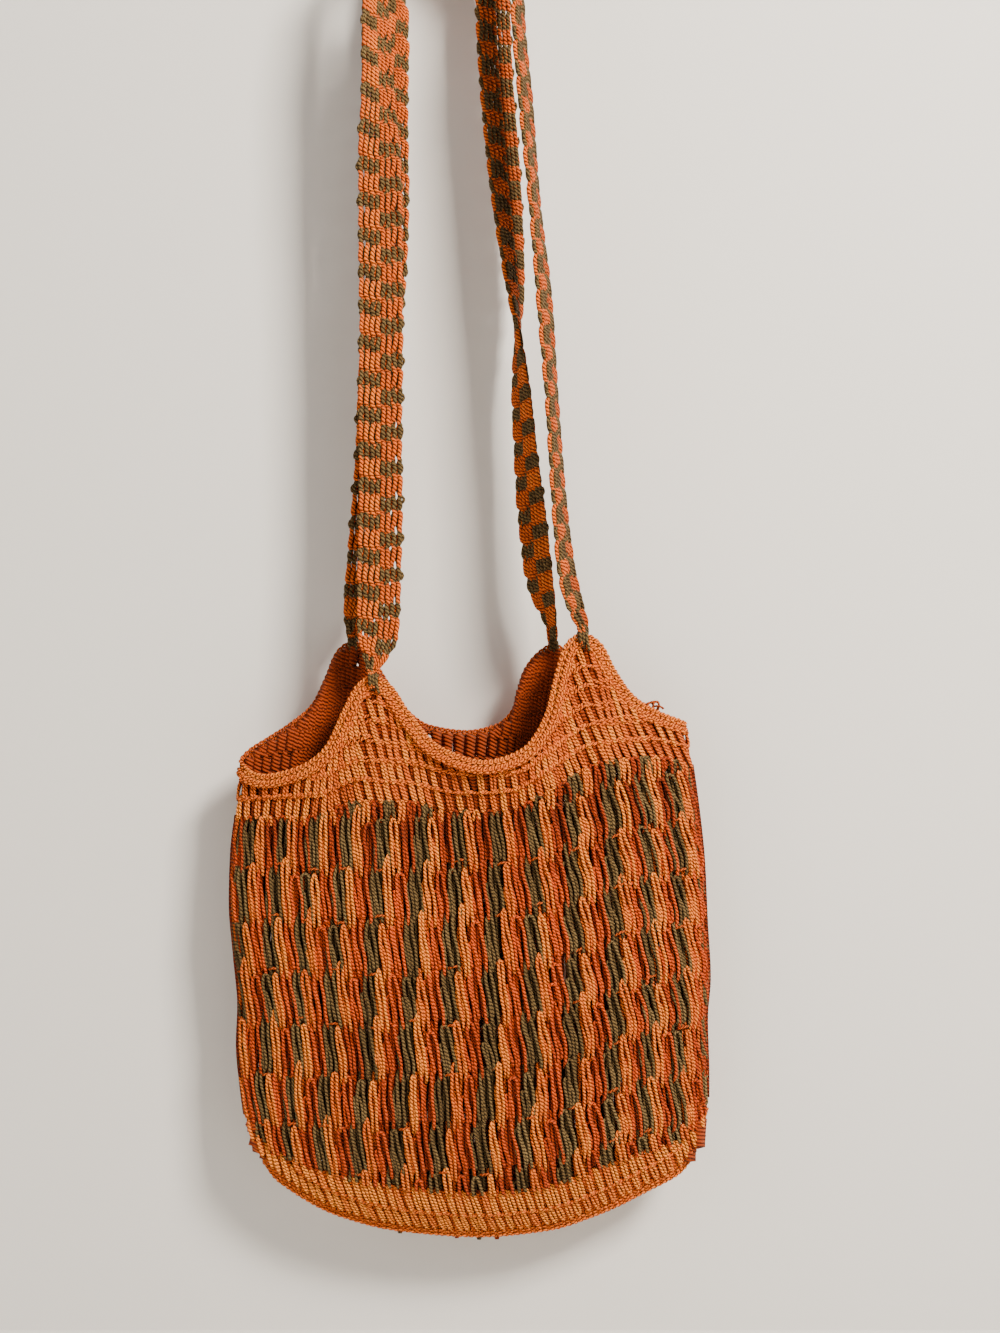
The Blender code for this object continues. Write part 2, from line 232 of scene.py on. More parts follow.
# The strap legs.  turn is how far the flat of the band is turned from facing the viewer.
FRONT_LEFT_LEG = table("x y z width turn", [
    (-49, -22, -542, STRAP_TIP_WIDTH, 0),
    (-48, -22, -533, 17, 0),
    (-46, -21, -519, 29, 0),
    (-45, -20, -490, STRAP_WIDTH, 2),
    (-44, -19, -400, STRAP_WIDTH, -4),
    (-44, -18, -289, STRAP_WIDTH, 5),
    (-45, -18, -207, STRAP_WIDTH, 12),
    (-46, -17, -152, STRAP_WIDTH, 46),
    (-48, -17, -84, STRAP_WIDTH, 62),
])
FRONT_RIGHT_LEG = table("x y z width turn", [
    (50, -17, -84, STRAP_WIDTH, 78),
    (55, -17, -152, STRAP_WIDTH, 74),
    (61, -18, -220, STRAP_WIDTH, 78),
    (68, -18, -289, STRAP_WIDTH, 72),
    (73, -19, -357, STRAP_WIDTH, 76),
    (78, -19, -426, STRAP_WIDTH, 73),
    (83, -19, -474, 29, 66),
    (90, -19, -502, 18, 56),
    (94, -19, -513, STRAP_TIP_WIDTH, 50),
])
BACK_LEFT_LEG = table("x y z width turn", [
    (-66, 11, -517, STRAP_TIP_WIDTH, 20),
    (-64, 11, -507, 18, 20),
    (-59, 12, -488, 29, 22),
    (-55, 13, -450, STRAP_WIDTH, 28),
    (-51, 14, -387, STRAP_WIDTH, 30),
    (-47, 15, -317, STRAP_WIDTH, 26),
    (-41, 16, -240, STRAP_WIDTH, 30),
    (-39, 16, -141, STRAP_WIDTH, 46),
    (-37, 17, -71, STRAP_WIDTH, 60),
])
BACK_RIGHT_LEG = table("x y z width turn", [
    (33, 17, -71, STRAP_WIDTH, 36),
    (40, 16, -180, STRAP_WIDTH, 40),
    (48, 15, -270, STRAP_WIDTH, 66),
    (50, 15, -305, STRAP_WIDTH, 90),
    (53, 14, -352, STRAP_WIDTH, 112),
    (56, 14, -390, STRAP_WIDTH, 118),
    (61, 13, -440, STRAP_WIDTH, 128),
    (65, 12, -476, 30, 128),
    (72, 12, -505, 18, 120),
    (75, 12, -519, STRAP_TIP_WIDTH, 115),
])
PEG_DEPTH = {"front": -17.0, "back": 17.0}

# Which quarter of the rim, in its places from 0 to 2, holds each peak.
PEAKS = {
    "front_left": (0.0, 0.5),
    "front_right": (0.5, 1.0),
    "back_right": (1.0, 1.5),
    "back_left": (1.5, 2.0),
}


# ---------------------------------------------------------------- curves and surfaces
def smooth(stations, values, at):
    """Monotone cubic through a table's points, so that it never swings past them."""
    at = np.asarray(at, float)
    step = np.diff(stations)
    slope = np.diff(values) / step
    tangent = np.zeros(len(values))
    tangent[0], tangent[-1] = slope[0], slope[-1]
    before, after = slope[:-1], slope[1:]
    same = before * after > 0
    tangent[1:-1][same] = 2 * before[same] * after[same] / (before[same] + after[same])
    i = np.clip(np.searchsorted(stations, at, side="right") - 1, 0, len(step) - 1)
    s = (at - stations[i]) / step[i]
    rise = values[i + 1] - values[i]
    return (values[i] + rise * s * s * (3 - 2 * s)
            + step[i] * s * (1 - s) * (tangent[i] * (1 - s) - tangent[i + 1] * s))


def unit(vectors):
    """Vectors of length one in the same directions."""
    return vectors / np.linalg.norm(vectors, axis=-1, keepdims=True)


def points_of(rows, *names):
    """Some columns of a table side by side, as points."""
    return np.stack([rows[name] for name in names], axis=-1)


def along(points):
    """Distance along a line of points, from 0 to 1."""
    run = np.concatenate([[0.0], np.cumsum(np.linalg.norm(np.diff(points, axis=0), axis=1))])
    return run / run[-1]


def smooth_line(stations, points, at):
    """The smooth curve through points, each at its own station."""
    return np.stack([smooth(stations, points[:, i], at) for i in range(points.shape[1])], axis=-1)


def rim(at):
    """The rim's edging: at 0 the left end, 1 the right end, 2 the left end again."""
    front, back = points_of(RIM_FRONT, "x", "y", "z"), points_of(RIM_BACK, "x", "y", "z")
    places = np.concatenate([along(front), 1 + along(back)[1:]])
    points = np.concatenate([front, back[1:]])
    over = RIM_OVERLAP
    places = np.concatenate([places[-over - 1:-1] - 2, places, places[1:over + 1] + 2])
    points = np.concatenate([points[-over - 1:-1], points, points[1:over + 1]])
    return smooth_line(places, points, at)


def fold_out(side, across, down):
    """How far the soft folds push a panel outwards."""
    out = np.zeros_like(across)
    for fold in each_row(FOLDS):
        if fold["side"] == side:
            from_crest = (across - fold["across"]) / fold["width"]
            out += fold["out"] * np.exp(-from_crest ** 2) * np.clip(1 - down / fold["fade"], 0, 1)
    return out


def pouch(side, across, down):
    """A point of the pouch, across a panel from left to right and down it to the seam."""
    across, down = np.broadcast_arrays(np.asarray(across, float), np.asarray(down, float))
    panel = "front" if side == FRONT else "back"
    left_top = np.array([SIDES["left"][0], YOKE_LINE["front"][0]])
    right_top = np.array([SIDES["right"][0], YOKE_LINE["front"][-1]])
    left_foot = np.array([SEAM["x"][0], SEAM["z"][0]])
    right_foot = np.array([SEAM["x"][-1], SEAM["z"][-1]])
    a, d = across[..., None], down[..., None]

    top = np.stack([left_top[0] + (right_top[0] - left_top[0]) * across,
                    smooth(YOKE_LINE["across"], YOKE_LINE[panel], across)], axis=-1)
    foot = np.stack([smooth(SEAM["across"], SEAM["x"], across),
                     smooth(SEAM["across"], SEAM["z"], across)], axis=-1)
    left = np.stack([smooth(SIDES["down"], SIDES["left"], down),
                     left_top[1] + (left_foot[1] - left_top[1]) * down], axis=-1)
    right = np.stack([smooth(SIDES["down"], SIDES["right"], down),
                      right_top[1] + (right_foot[1] - right_top[1]) * down], axis=-1)
    corners = ((1 - d) * ((1 - a) * left_top + a * right_top)
               + d * ((1 - a) * left_foot + a * right_foot))
    flat = (1 - d) * top + d * foot + (1 - a) * left + a * right - corners

    width = right[..., 0] - left[..., 0]
    from_edge = np.minimum(across, 1 - across) * width / SIDE_FOLD_RADIUS
    turn = np.sqrt(1 - (1 - np.clip(from_edge, 0, 1)) ** 2)
    belly = smooth(BELLY["down"], BELLY[panel], down)
    bulge = 1 - np.abs(2 * across - 1) ** SIDE_FULLNESS
    middle = belly - SIDE_FOLD_RADIUS + fold_out(side, across, down)
    out = turn * SIDE_FOLD_RADIUS + middle * bulge
    return np.stack([flat[..., 0], side * out, flat[..., 1]], axis=-1)


def band_line(across):
    """How far down the pouch the stripes stop and the tan bottom band starts."""
    return 0.90 + 0.07 * np.abs(2 * across - 1) ** 4


def place_of_peak(name):
    """Where along the rim a peak has its highest point."""
    places = np.linspace(*PEAKS[name], PEAK_SEARCH_STEPS)
    return places[np.argmax(rim(places)[:, 2])]


# ---------------------------------------------------------------- frames that yarns follow
def across_of(place):
    """How far across its panel, from left to right, a place round the bag lies."""
    return np.where(place % 2 < 1, place % 2, 2 - place % 2)


def line_height(rows, place):
    """Height of a line of the front or the back panel at a place round the bag."""
    across = across_of(place)
    return np.where(place % 2 < 1, smooth(rows["across"], rows["front"], across),
                    smooth(rows["across"], rows["back"], across))


def pouch_ring(place, down):
    """A point of the pouch, where place runs 0 to 1 across the front and 1 to 2 back behind."""
    place, down = np.broadcast_arrays(place % 2, down)
    across = across_of(place)
    return np.where((place < 1)[..., None], pouch(FRONT, across, down), pouch(BACK, across, down))


def pouch_height(place):
    """Heights of the stripes' top line and of the bottom seam, at a place round the pouch."""
    across = across_of(place)
    return line_height(YOKE_LINE, place), smooth(SEAM["across"], SEAM["z"], across), across


def ring_frame(surface, place, level, step=0.002):
    """Points of a surface, its outward direction and its direction round the bag."""
    here = surface(place, level)
    round_bag = unit(surface(place + step, level) - surface(place - step, level))
    below = unit(surface(place, level + step) - surface(place, level - step))
    return here, unit(np.cross(below, round_bag)), round_bag


def rim_frame(place):
    """Points of the rim, with the direction up off the cloth and the one out of the bag."""
    run = unit(rim(place + RIM_STEP) - rim(place - RIM_STEP))
    side = np.where(place % 2 < 1, 1.0, -1.0)
    level = np.stack([run[:, 2] * side, 1e-6 + 0 * place, -run[:, 0] * side], axis=-1)
    steep = np.array([0.0, 0.0, -1.0]) - run * -run[:, 2:]
    to_end = np.minimum(place % 1, 1 - place % 1)
    share = np.clip(to_end / RIM_END_REACH, 0, 1)[:, None]
    down = unit(share * unit(level) + (1 - share) * unit(steep))
    down = unit(down - run * np.sum(down * run, axis=1, keepdims=True))
    return rim(place), -down, np.cross(down, run)


def yoke_ring(place, level):
    """A point of the yoke, from the stripes' top line (level 0) to the rim (level 1)."""
    place, level = np.broadcast_arrays(np.asarray(place, float) % 2, level)
    across = across_of(place)
    upper = rim(place.ravel()).reshape(place.shape + (3,))
    left, right = RIM_FRONT["x"][0], RIM_FRONT["x"][-1]
    share = 0.5 * (upper[..., 0] - left) / (right - left) + 0.5 * across
    lower = np.where((place < 1)[..., None],
                     pouch(FRONT, share, 0 * share), pouch(BACK, share, 0 * share))
    return lower + (upper - lower) * level[..., None]


def band_ring(place, level):
    """A point of the bottom band, from the seam (level 0) to the stripes (level 1)."""
    _, _, across = pouch_height(place)
    start = band_line(across)
    return pouch_ring(place, 1 - level * (1 - start))


def rising_frame(surface):
    """The frames of a surface whose levels run upwards."""
    def frame_at(place, level):
        here, inward, round_bag = ring_frame(surface, place, level)
        return here, -inward, round_bag
    return frame_at


yoke_frame, band_frame = rising_frame(yoke_ring), rising_frame(band_ring)


# ---------------------------------------------------------------- yarn as a mesh
def strands(points, hint, radius, finish, dye=0.5, sides=YARN_SIDES):
    """A batch of strands with equally many points each, in mm, with a direction off the cloth."""
    shape = points.shape[:2]
    return {"points": points, "hint": np.broadcast_to(hint, points.shape), "finish": finish,
            "radius": np.broadcast_to(radius, shape), "dye": np.broadcast_to(dye, shape),
            "sides": sides}


def yarn_piece(name, batches, finishes, painted_shade_under=0.3):
    """One object of round yarns, each a closed tube with its twist's coordinates.

    The last argument sets how much paler each strand is painted on its side out of the cloth, and how
    much darker on its side towards it: painted light and painted shade.
    """
    corners, faces, uvs, dye_and_shade_values, slots, first = [], [], [], [], [], 0
    caps, cap_uvs, cap_slots = [], [], []
    for batch in batches:
        points, sides = batch["points"] * MM, batch["sides"]
        count, long = points.shape[:2]
        run = unit(np.gradient(points, axis=1))
        across = unit(np.cross(run, batch["hint"]))
        up = np.cross(across, run)
        angle = np.arange(sides) * 2 * math.pi / sides
        ring = (np.cos(angle)[:, None] * across[:, :, None]
                + np.sin(angle)[:, None] * up[:, :, None])
        corners.append((points[:, :, None]
                        + ring * (batch["radius"] * MM)[..., None, None]).reshape(-1, 3))
        index = first + np.arange(count * long * sides).reshape(count, long, sides)
        first += index.size
        turned = np.roll(index, -1, axis=2)
        quads = np.stack([index[:, :-1], index[:, 1:], turned[:, 1:], turned[:, :-1]], axis=-1)
        faces += quads.reshape(-1, 4).tolist()

        steps = np.linalg.norm(np.diff(points, axis=1), axis=2)
        length = np.concatenate([np.zeros((count, 1)), np.cumsum(steps, axis=1)], axis=1)
        length = length + np.arange(count)[:, None] * TWIST_PITCH * MM * TWIST_STAGGER
        turn = np.arange(sides + 1) / sides
        u = np.stack([turn[:-1], turn[:-1], turn[1:], turn[1:]], axis=-1)
        v = np.stack([length[:, :-1], length[:, 1:], length[:, 1:], length[:, :-1]], axis=-1)
        u = np.broadcast_to(u[None, None], quads.shape)
        v = np.broadcast_to(v[:, :, None], quads.shape)
        uvs.append(np.stack([u, v], axis=-1).reshape(-1, 2))
        slots.append(np.full(quads.size // 4, batch["finish"]))
        # Painted light and painted shade: each strand is paler on its side out of the cloth and darker
        # on its side towards it, added to its dye values.
        dye_and_shade_values.append((batch["dye"][..., None] + painted_shade_under * (np.sin(angle) - 0.4)).ravel())

        caps += index[:, 0].tolist() + index[:, -1, ::-1].tolist()
        cap_uvs.append(np.zeros((2 * count * sides, 2)))
        cap_slots.append(np.full(2 * count, batch["finish"]))

    mesh = bpy.data.meshes.new(name)
    mesh.from_pydata(np.concatenate(corners).tolist(), [], faces + caps)
    layer = mesh.uv_layers.new(name="yarn")
    layer.uv.foreach_set("vector", np.concatenate(uvs + cap_uvs).ravel().astype(np.float32))
    # Each point's dye value, with painted shade and painted light added in.
    mesh.attributes.new("dye", "FLOAT", "POINT").data.foreach_set("value", np.concatenate(dye_and_shade_values))
    for finish in finishes:
        mesh.materials.append(finish)
    mesh.polygons.foreach_set("material_index", np.concatenate(slots + cap_slots).astype(np.int32))
    mesh.shade_smooth()
    piece = bpy.data.objects.new(name, mesh)
    bag.objects.link(piece)
    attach(piece, "root")
    return piece


def spread(rng, amount, count):
    """One number for each strand, evenly spread between -amount and +amount."""
    return rng.uniform(-amount, amount, (count, 1))


# ---------------------------------------------------------------- the striped pouch
# Where the tan columns stand across the front panel, high up and low down on the pouch.
TAN_COLUMNS = table("high low", [
    (0.062, -0.004), (0.134, 0.066), (0.202, 0.130), (0.275, 0.205), (0.354, 0.289),
    (0.435, 0.373), (0.514, 0.461), (0.601, 0.552), (0.674, 0.638), (0.755, 0.731),
    (0.838, 0.818), (0.906, 0.888), (0.974, 0.958),
])
HIGH_DOWN, LOW_DOWN = 0.09, 0.74

# Height of the heads of the first tier's loops.
TIER_LINE = table("across front back", [
    (0.00, -642, -642), (0.20, -640, -637), (0.50, -637, -632), (0.70, -628, -624),
    (0.85, -613, -614), (1.00, -608, -608),
])

# How bright the rust yarn was dyed, tier by tier.
RUST_DYE = table("tier dye", [
    (-1.0, 0.12), (0.6, 0.22), (1.2, 0.55), (2.0, 0.85), (3.4, 0.85), (4.6, 0.60), (9.0, 0.55),
])

# The two loops that a column has in each tier, long ones and shorter ones beside them: where they
# start and end in tiers, how far they lean and slant to the right, the gap between their legs at
# head and foot, how far out head, middle and foot stand, and how many points they have.
LOOPS = table("start end lean slant head_gap foot_gap head middle foot points", [
    (0.00, 1.22, 0.0, 6.8, 1.9, 2.1, 1.1, 0.9, -1.4, 29),
    (0.36, 1.06, -4.2, 4.8, 1.5, 1.6, -0.9, 1.0, -1.0, 23),
])

# The three colours of a repeat: place in it, how far out they stand, how wide they spread, how
# far their heads stay down under the tier above, how unevenly their tiers line up, how deep their
# feet dive under the next tier, and how much the dye varies from loop to loop.
STRIPES = table("finish shift out spread sunk uneven dive vary", [
    (OLIVE, -0.34, 0.0, 1.15, 2.8, 0.16, 2.6, 0.22),
    (TAN, -0.02, 1.0, 0.74, 0.9, 0.17, 0.0, 0.20),
    (RUST, 0.31, 0.2, 1.35, 2.8, 0.2, 2.6, 0.26),
])

# How far the loops bow to the right, across the front.
BOW = table("across out", [(0.0, 0.3), (0.6, 0.3), (0.78, 1.6), (1.0, 1.6)])

RUNGS_SHOWING = 0.6        # share of the columns whose rungs lie in front
HEAD_TAPER = {TAN: 8.0, OLIVE: 13.0, RUST: 13.0}     # mm over which a loop's head closes
DIVE_FROM = 0.86           # share of a loop's length where its feet dive in
SHORTEST_LOOP = 0.15       # in tiers; a shorter rest of a column is left out
LOOP_RADIUS_WAVE = 0.06
FOLD_REACH = 0.04          # share of a panel, at a side fold, where loops lie closer in
FOLD_CLOSENESS = 0.3
DOWN_LIMITS = (-0.02, 0.985)
INNER_POINTS = 12
INNER_LINES = (-4.4, -1.6, 1.2)                      # mm beside the middle of a stripe
INNER_THICK = 1.2          # against the loops' yarn
FOLD_THICK = 2.4
FOLD_POINTS = 40


def all_columns():
    """High and low places of every tan column round the bag, front ones first."""
    columns = []
    for name in ("high", "low"):
        front = TAN_COLUMNS[name]
        behind = np.linspace(front[-1], front[0] + 2, len(front) + 2)[1:-1]
        columns.append(np.concatenate([front, behind]))
    return columns


def column_place(high, low, tier):
    """Where a column stands at a depth in tiers, between its high place and its low one."""
    down = TIER * tier / POUCH_DEPTH
    return high + (low - high) * (down - HIGH_DOWN) / (LOW_DOWN - HIGH_DOWN)


def stripe_strands(side, shift, start, end):
    """Where the loops of one colour on one panel hang: column places and tier ranges."""
    high, low = all_columns()
    share = abs(shift)
    toward = np.roll(np.arange(len(high)), -1 if shift > 0 else 1)
    wrap = np.where(toward < np.arange(len(high)), 2, 0) if shift > 0 else \
        np.where(toward > np.arange(len(high)), -2, 0)
    high = high + share * (high[toward] + wrap - high)
    low = low + share * (low[toward] + wrap - low)
    half = len(high) // 2
    mine = slice(0, half) if side == FRONT else slice(half, None)
    tiers = np.arange(-1, 9)
    high, tier = [a.ravel()[:, None] for a in np.meshgrid(high[mine], tiers, indexing="ij")]
    low, _ = [a.ravel()[:, None] for a in np.meshgrid(low[mine], tiers, indexing="ij")]
    centre = column_place(high, low, tier + (start + end) / 2)
    top, seam, across = pouch_height(centre)
    line = line_height(TIER_LINE, centre)
    band = top - band_line(across) * (top - seam)
    first = np.maximum(tier + start, (line - top) / TIER + 0.02)
    last = np.minimum(tier + end, (line - band) / TIER + 0.04)
    keep = (last - first)[:, 0] > SHORTEST_LOOP
    return [a[keep] for a in (high, low, tier, first, last)]


def on_pouch(high, low, tier, sideways, out):
    """Points at a depth in tiers down a column, moved sideways and outwards in mm."""
    place = column_place(high, low, tier) + sideways / PANEL_WIDTH
    top, seam, _ = pouch_height(place)
    down = (top - (line_height(TIER_LINE, place) - TIER * tier)) / (top - seam)
    here, outward, _ = ring_frame(pouch_ring, place, np.clip(down, *DOWN_LIMITS))
    from_fold = np.clip(np.minimum(place % 1, 1 - place % 1) / FOLD_REACH, 0, 1)
    out = out * (FOLD_CLOSENESS + (1 - FOLD_CLOSENESS) * from_fold)
    return here + outward * out[..., None], outward, place


def stripe_loops(side, rng):
    """The long looped stitches of one panel, in all three colours."""
    batches = []
    for stripe in each_row(STRIPES):
        finish, wide, dive = int(stripe["finish"]), stripe["spread"], stripe["dive"]
        for loop in each_row(LOOPS):
            long_loop = loop["start"] == 0
            leg = np.linspace(-1, 1, int(loop["points"]))
            from_head = np.abs(leg) ** 1.35
            high, low, tier, first, last = stripe_strands(
                side, stripe["shift"], loop["start"], loop["end"])
            count = len(tier)
            moved = stripe["uneven"] * np.sin(high * 61 + tier * 2.3 + finish)
            moved = moved + spread(rng, 0.03, count)
            first = first + np.where(first > tier + loop["start"] + 0.001, 0, 1) * moved
            depth = first + (last - first) * from_head
            share = (depth - tier - loop["start"]) / (loop["end"] - loop["start"])
            share = np.clip(share, 0, 1)
            ease = 0.2 * share + 0.8 * share * share * (3 - 2 * share)
            near_head = np.clip((depth - first) * TIER / HEAD_TAPER[finish], 0, 1)
            arch = np.sqrt(1 - (1 - near_head) ** 2)
            arch = arch if finish == TAN else 0.5 + 0.5 * arch
            gap = loop["head_gap"] + (loop["foot_gap"] - loop["head_gap"]) * share
            gap = (gap + spread(rng, 0.5, count) + 0.3 * np.sin(math.pi * share)) * arch * wide
            bow = np.where(high % 2 < 1, smooth(BOW["across"], BOW["out"], high % 1), 0.5)
            sideways = (loop["lean"] * wide + (loop["slant"] * min(1, wide + 0.2)
                                               + spread(rng, 1.0, count)) * ease
                        - 0.5 * (loop["slant"] if long_loop else 0)
                        + bow * np.sin(math.pi * share)
                        + np.sign(leg) * gap + spread(rng, 0.5, count)
                        + 0.3 * np.sin(depth * 9 + spread(rng, 3.0, count) + np.sign(leg)))
            out = np.where(share < 0.5,
                           loop["head"] + (loop["middle"] - loop["head"]) * 2 * share,
                           loop["middle"] + (loop["foot"] - loop["middle"]) * (2 * share - 1) ** 2)
            out = out + stripe["out"] + spread(rng, 0.35, count) + 0.35 * np.sign(leg) * share
            out = out - stripe["sunk"] * np.clip(1 - 4 * share, 0, 1) ** 2 * long_loop
            if dive:
                near_foot = np.clip((share - DIVE_FROM) / (1 - DIVE_FROM), 0, 1)
                out = (out + 1.5 * np.clip(2 * share - 1, 0, 1) ** 2
                       - (1.5 + dive) * near_foot ** 1.5)
            elif not long_loop:
                out = out - 0.9
            points, outward, place = on_pouch(high, low, depth, sideways, out)
            wave = np.sin(depth * 14 + spread(rng, 3.0, count))
            thick = POUCH_YARN * (1 + LOOP_RADIUS_WAVE * wave)
            dye = yarn_dye(finish, place, depth) + spread(rng, stripe["vary"], count)
            # Painted shade: the shorter tan loops, which lie further in, are dyed darker.
            if finish == TAN and not long_loop:
                dye = dye - 0.1
            batches.append(strands(points, outward, thick, finish, dye))
    return batches


def yarn_dye(finish, place, tier):
    """How bright a yarn was dyed, from 0 to 1."""
    if finish == RUST:
        return smooth(RUST_DYE["tier"], RUST_DYE["dye"], np.clip(tier, -1, 9))
    if finish == OLIVE:
        low_right = np.clip((place % 2 - 0.55) / 0.3, 0, 1) * np.clip((tier - 4) / 3, 0, 1)
        return 0.4 + 0.4 * low_right * (place % 2 < 1)
    return 0.62 + 0 * tier


def inner_strands(side, rng):
    """Strands carried behind the loops, which close the cloth between its columns."""
    batches = []
    for stripe in each_row(STRIPES):
        finish = int(stripe["finish"])
        for sideways in INNER_LINES:
            high, low, tier, first, last = stripe_strands(side, stripe["shift"], 0.0, 1.0)
            count = len(tier)
            depth = first + (last - first) * np.linspace(0, 1, INNER_POINTS)
            lean = sideways + 3.5 * (depth - tier) + spread(rng, 0.8, count)
            out = 0 * depth - 2.0 + spread(rng, 0.3, count)
            points, outward, place = on_pouch(high, low, depth, lean, out)
            # Painted shade: the strands behind the loops are dyed darker than the loops, for the shade
            # in the gaps between the columns.
            dye = yarn_dye(finish, place, depth) - 0.28
            batches.append(strands(points, outward, POUCH_YARN * INNER_THICK, finish, dye,
                                   HIDDEN_SIDES))
    return batches


def fold_strands(side, rng):
    """Strands down the two side folds, half of them on each panel, and a thick one inside each."""
    sideways = np.tile([-5.0, -3.0, -1.0, 1.0, 3.0, 5.0], 2)[:, None]
    fold = np.repeat([0.0, 1.0], 6)[:, None]
    keep = (sideways[:, 0] * (1 - 2 * fold[:, 0]) > 0) == (side == FRONT)
    fold, sideways = fold[keep], sideways[keep]
    top, seam, across = pouch_height(fold)
    line = line_height(TIER_LINE, fold)
    band = top - band_line(across) * (top - seam)
    depth = np.linspace(0, 1, FOLD_POINTS) * (top - band) / TIER + (line - top) / TIER
    sideways = sideways + 0.6 * np.sin(2.2 * depth + spread(rng, 3.0, len(fold)))
    out = -1.4 + 0.5 * np.sin(3.1 * depth + spread(rng, 3.0, len(fold)))
    batches = []
    for finish in (RUST, TAN, OLIVE):
        mine = np.arange(len(fold)) % 3 == finish
        points, outward, _ = on_pouch(fold[mine], fold[mine], depth[mine], sideways[mine], out[mine])
        # Painted shade: the strands inside the side folds, and the thick one below, are given low dye
        # values, darker than the loops.
        batches.append(strands(points, outward, POUCH_YARN * INNER_THICK, finish, 0.3, HIDDEN_SIDES))
    points, outward, _ = on_pouch(fold, fold, depth, 0 * sideways, 0 * out - 2.4)
    batches.append(strands(points[::3], outward[::3], POUCH_YARN * FOLD_THICK, RUST, 0.1, HIDDEN_SIDES))
    return batches


def tier_rungs(side, rng):
    """Short tan bars that cross the olive columns where two tiers meet."""
    high, low, tier, _, _ = stripe_strands(side, 0.0, 0.0, 0.3)
    keep = (tier[:, 0] > 0) & (rng.uniform(0, 1, len(tier)) < RUNGS_SHOWING)
    high, low, tier = high[keep], low[keep], tier[keep]
    count = len(tier)
    step = np.linspace(0, 1, 8)
    sideways = -1.5 - 8.5 * step + spread(rng, 1.0, count)
    depth = tier + 0.05 + 0.03 * step + spread(rng, 0.09, count) - 0.03 * np.sin(math.pi * step)
    out = -2.2 + 3.6 * np.sin(math.pi * step) ** 0.6 + spread(rng, 0.4, count)
    points, outward, _ = on_pouch(high, low, depth, sideways, out)
    return [strands(points, outward, RUNG_YARN, TAN, 0.15)]


def make_pouch(side, name, finishes, rng):
    """One panel of the pouch: its looped face, and the strands carried behind it."""
    face = yarn_piece(name, stripe_loops(side, rng) + tier_rungs(side, rng), finishes)
    inside = yarn_piece(name + "_inside", inner_strands(side, rng) + fold_strands(side, rng),
                        finishes)
    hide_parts("striped_pouch")
    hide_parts("striped_pouch")
    return face, inside


# ---------------------------------------------------------------- rows of plain loops
def rows_of(height, row):
    """How many rows of about one height a cloth has at each place."""
    return np.maximum(1, np.floor(height / row + 0.5)).astype(int)


def spacing(frame_of, place, level, pitch):
    """How far apart in mm two neighbouring stitches of a row stand."""
    ends = frame_of(np.array([place - pitch / 2, place + pitch / 2]), np.array([level, level]))[0]
    return np.linalg.norm(ends[1] - ends[0])


STITCH_POINTS = 17
FOOT_BEND = 3.0            # mm over which the legs of a stitch part above its foot
TALL_SHARE = 0.6           # the cloth counts as a peak above this share of its greatest height
BEHIND_FILL = 0.46         # radius of a strand behind, against the distance to the next one
BEHIND_MOST = 2.5          # how many times thicker it may get than where stitches stand closest


def strands_behind(frame_of, height_of, cells, row, pitch, style, rng):
    """The yarn that runs up behind a cloth's stitches and fills the gaps between them."""
    place, _, rows, k = [np.array(column, float)[:, None] for column in zip(*cells)]
    place = place + np.where(k % 2 == 1, pitch / 2, 0)
    tall = height_of((place[:, 0] + pitch / 2) % 2)[:, None]
    low = np.minimum(np.where(k == 0, -BEHIND_REACH, k * row - 1), tall - 3)
    high = np.where(k == rows - 1, tall, np.minimum((k + 1) * row, tall))
    step = np.linspace(0, 1, 5)
    level = high - (high - low) * step + spread(rng, 0.5, len(cells))
    level = np.minimum(level / tall, 1)
    here, outward, round_bag = frame_of(place + pitch / 2 + 0 * level, level)
    beside = frame_of(place - pitch / 2 + 0 * level, level)[0]
    radius = np.clip(BEHIND_FILL * np.linalg.norm(here - beside, axis=-1),
                     BEHIND_YARN, BEHIND_MOST * BEHIND_YARN)
    sideways = style["slant"](place) * (step - 0.5)
    points = here + outward * (0.4 - radius)[..., None] + round_bag * sideways[..., None]
    # Painted shade: the strands behind are dyed dark, for the shade in the gaps between the stitches.
    return strands(points, outward, radius, TAN, style["behind"], HIDDEN_SIDES)


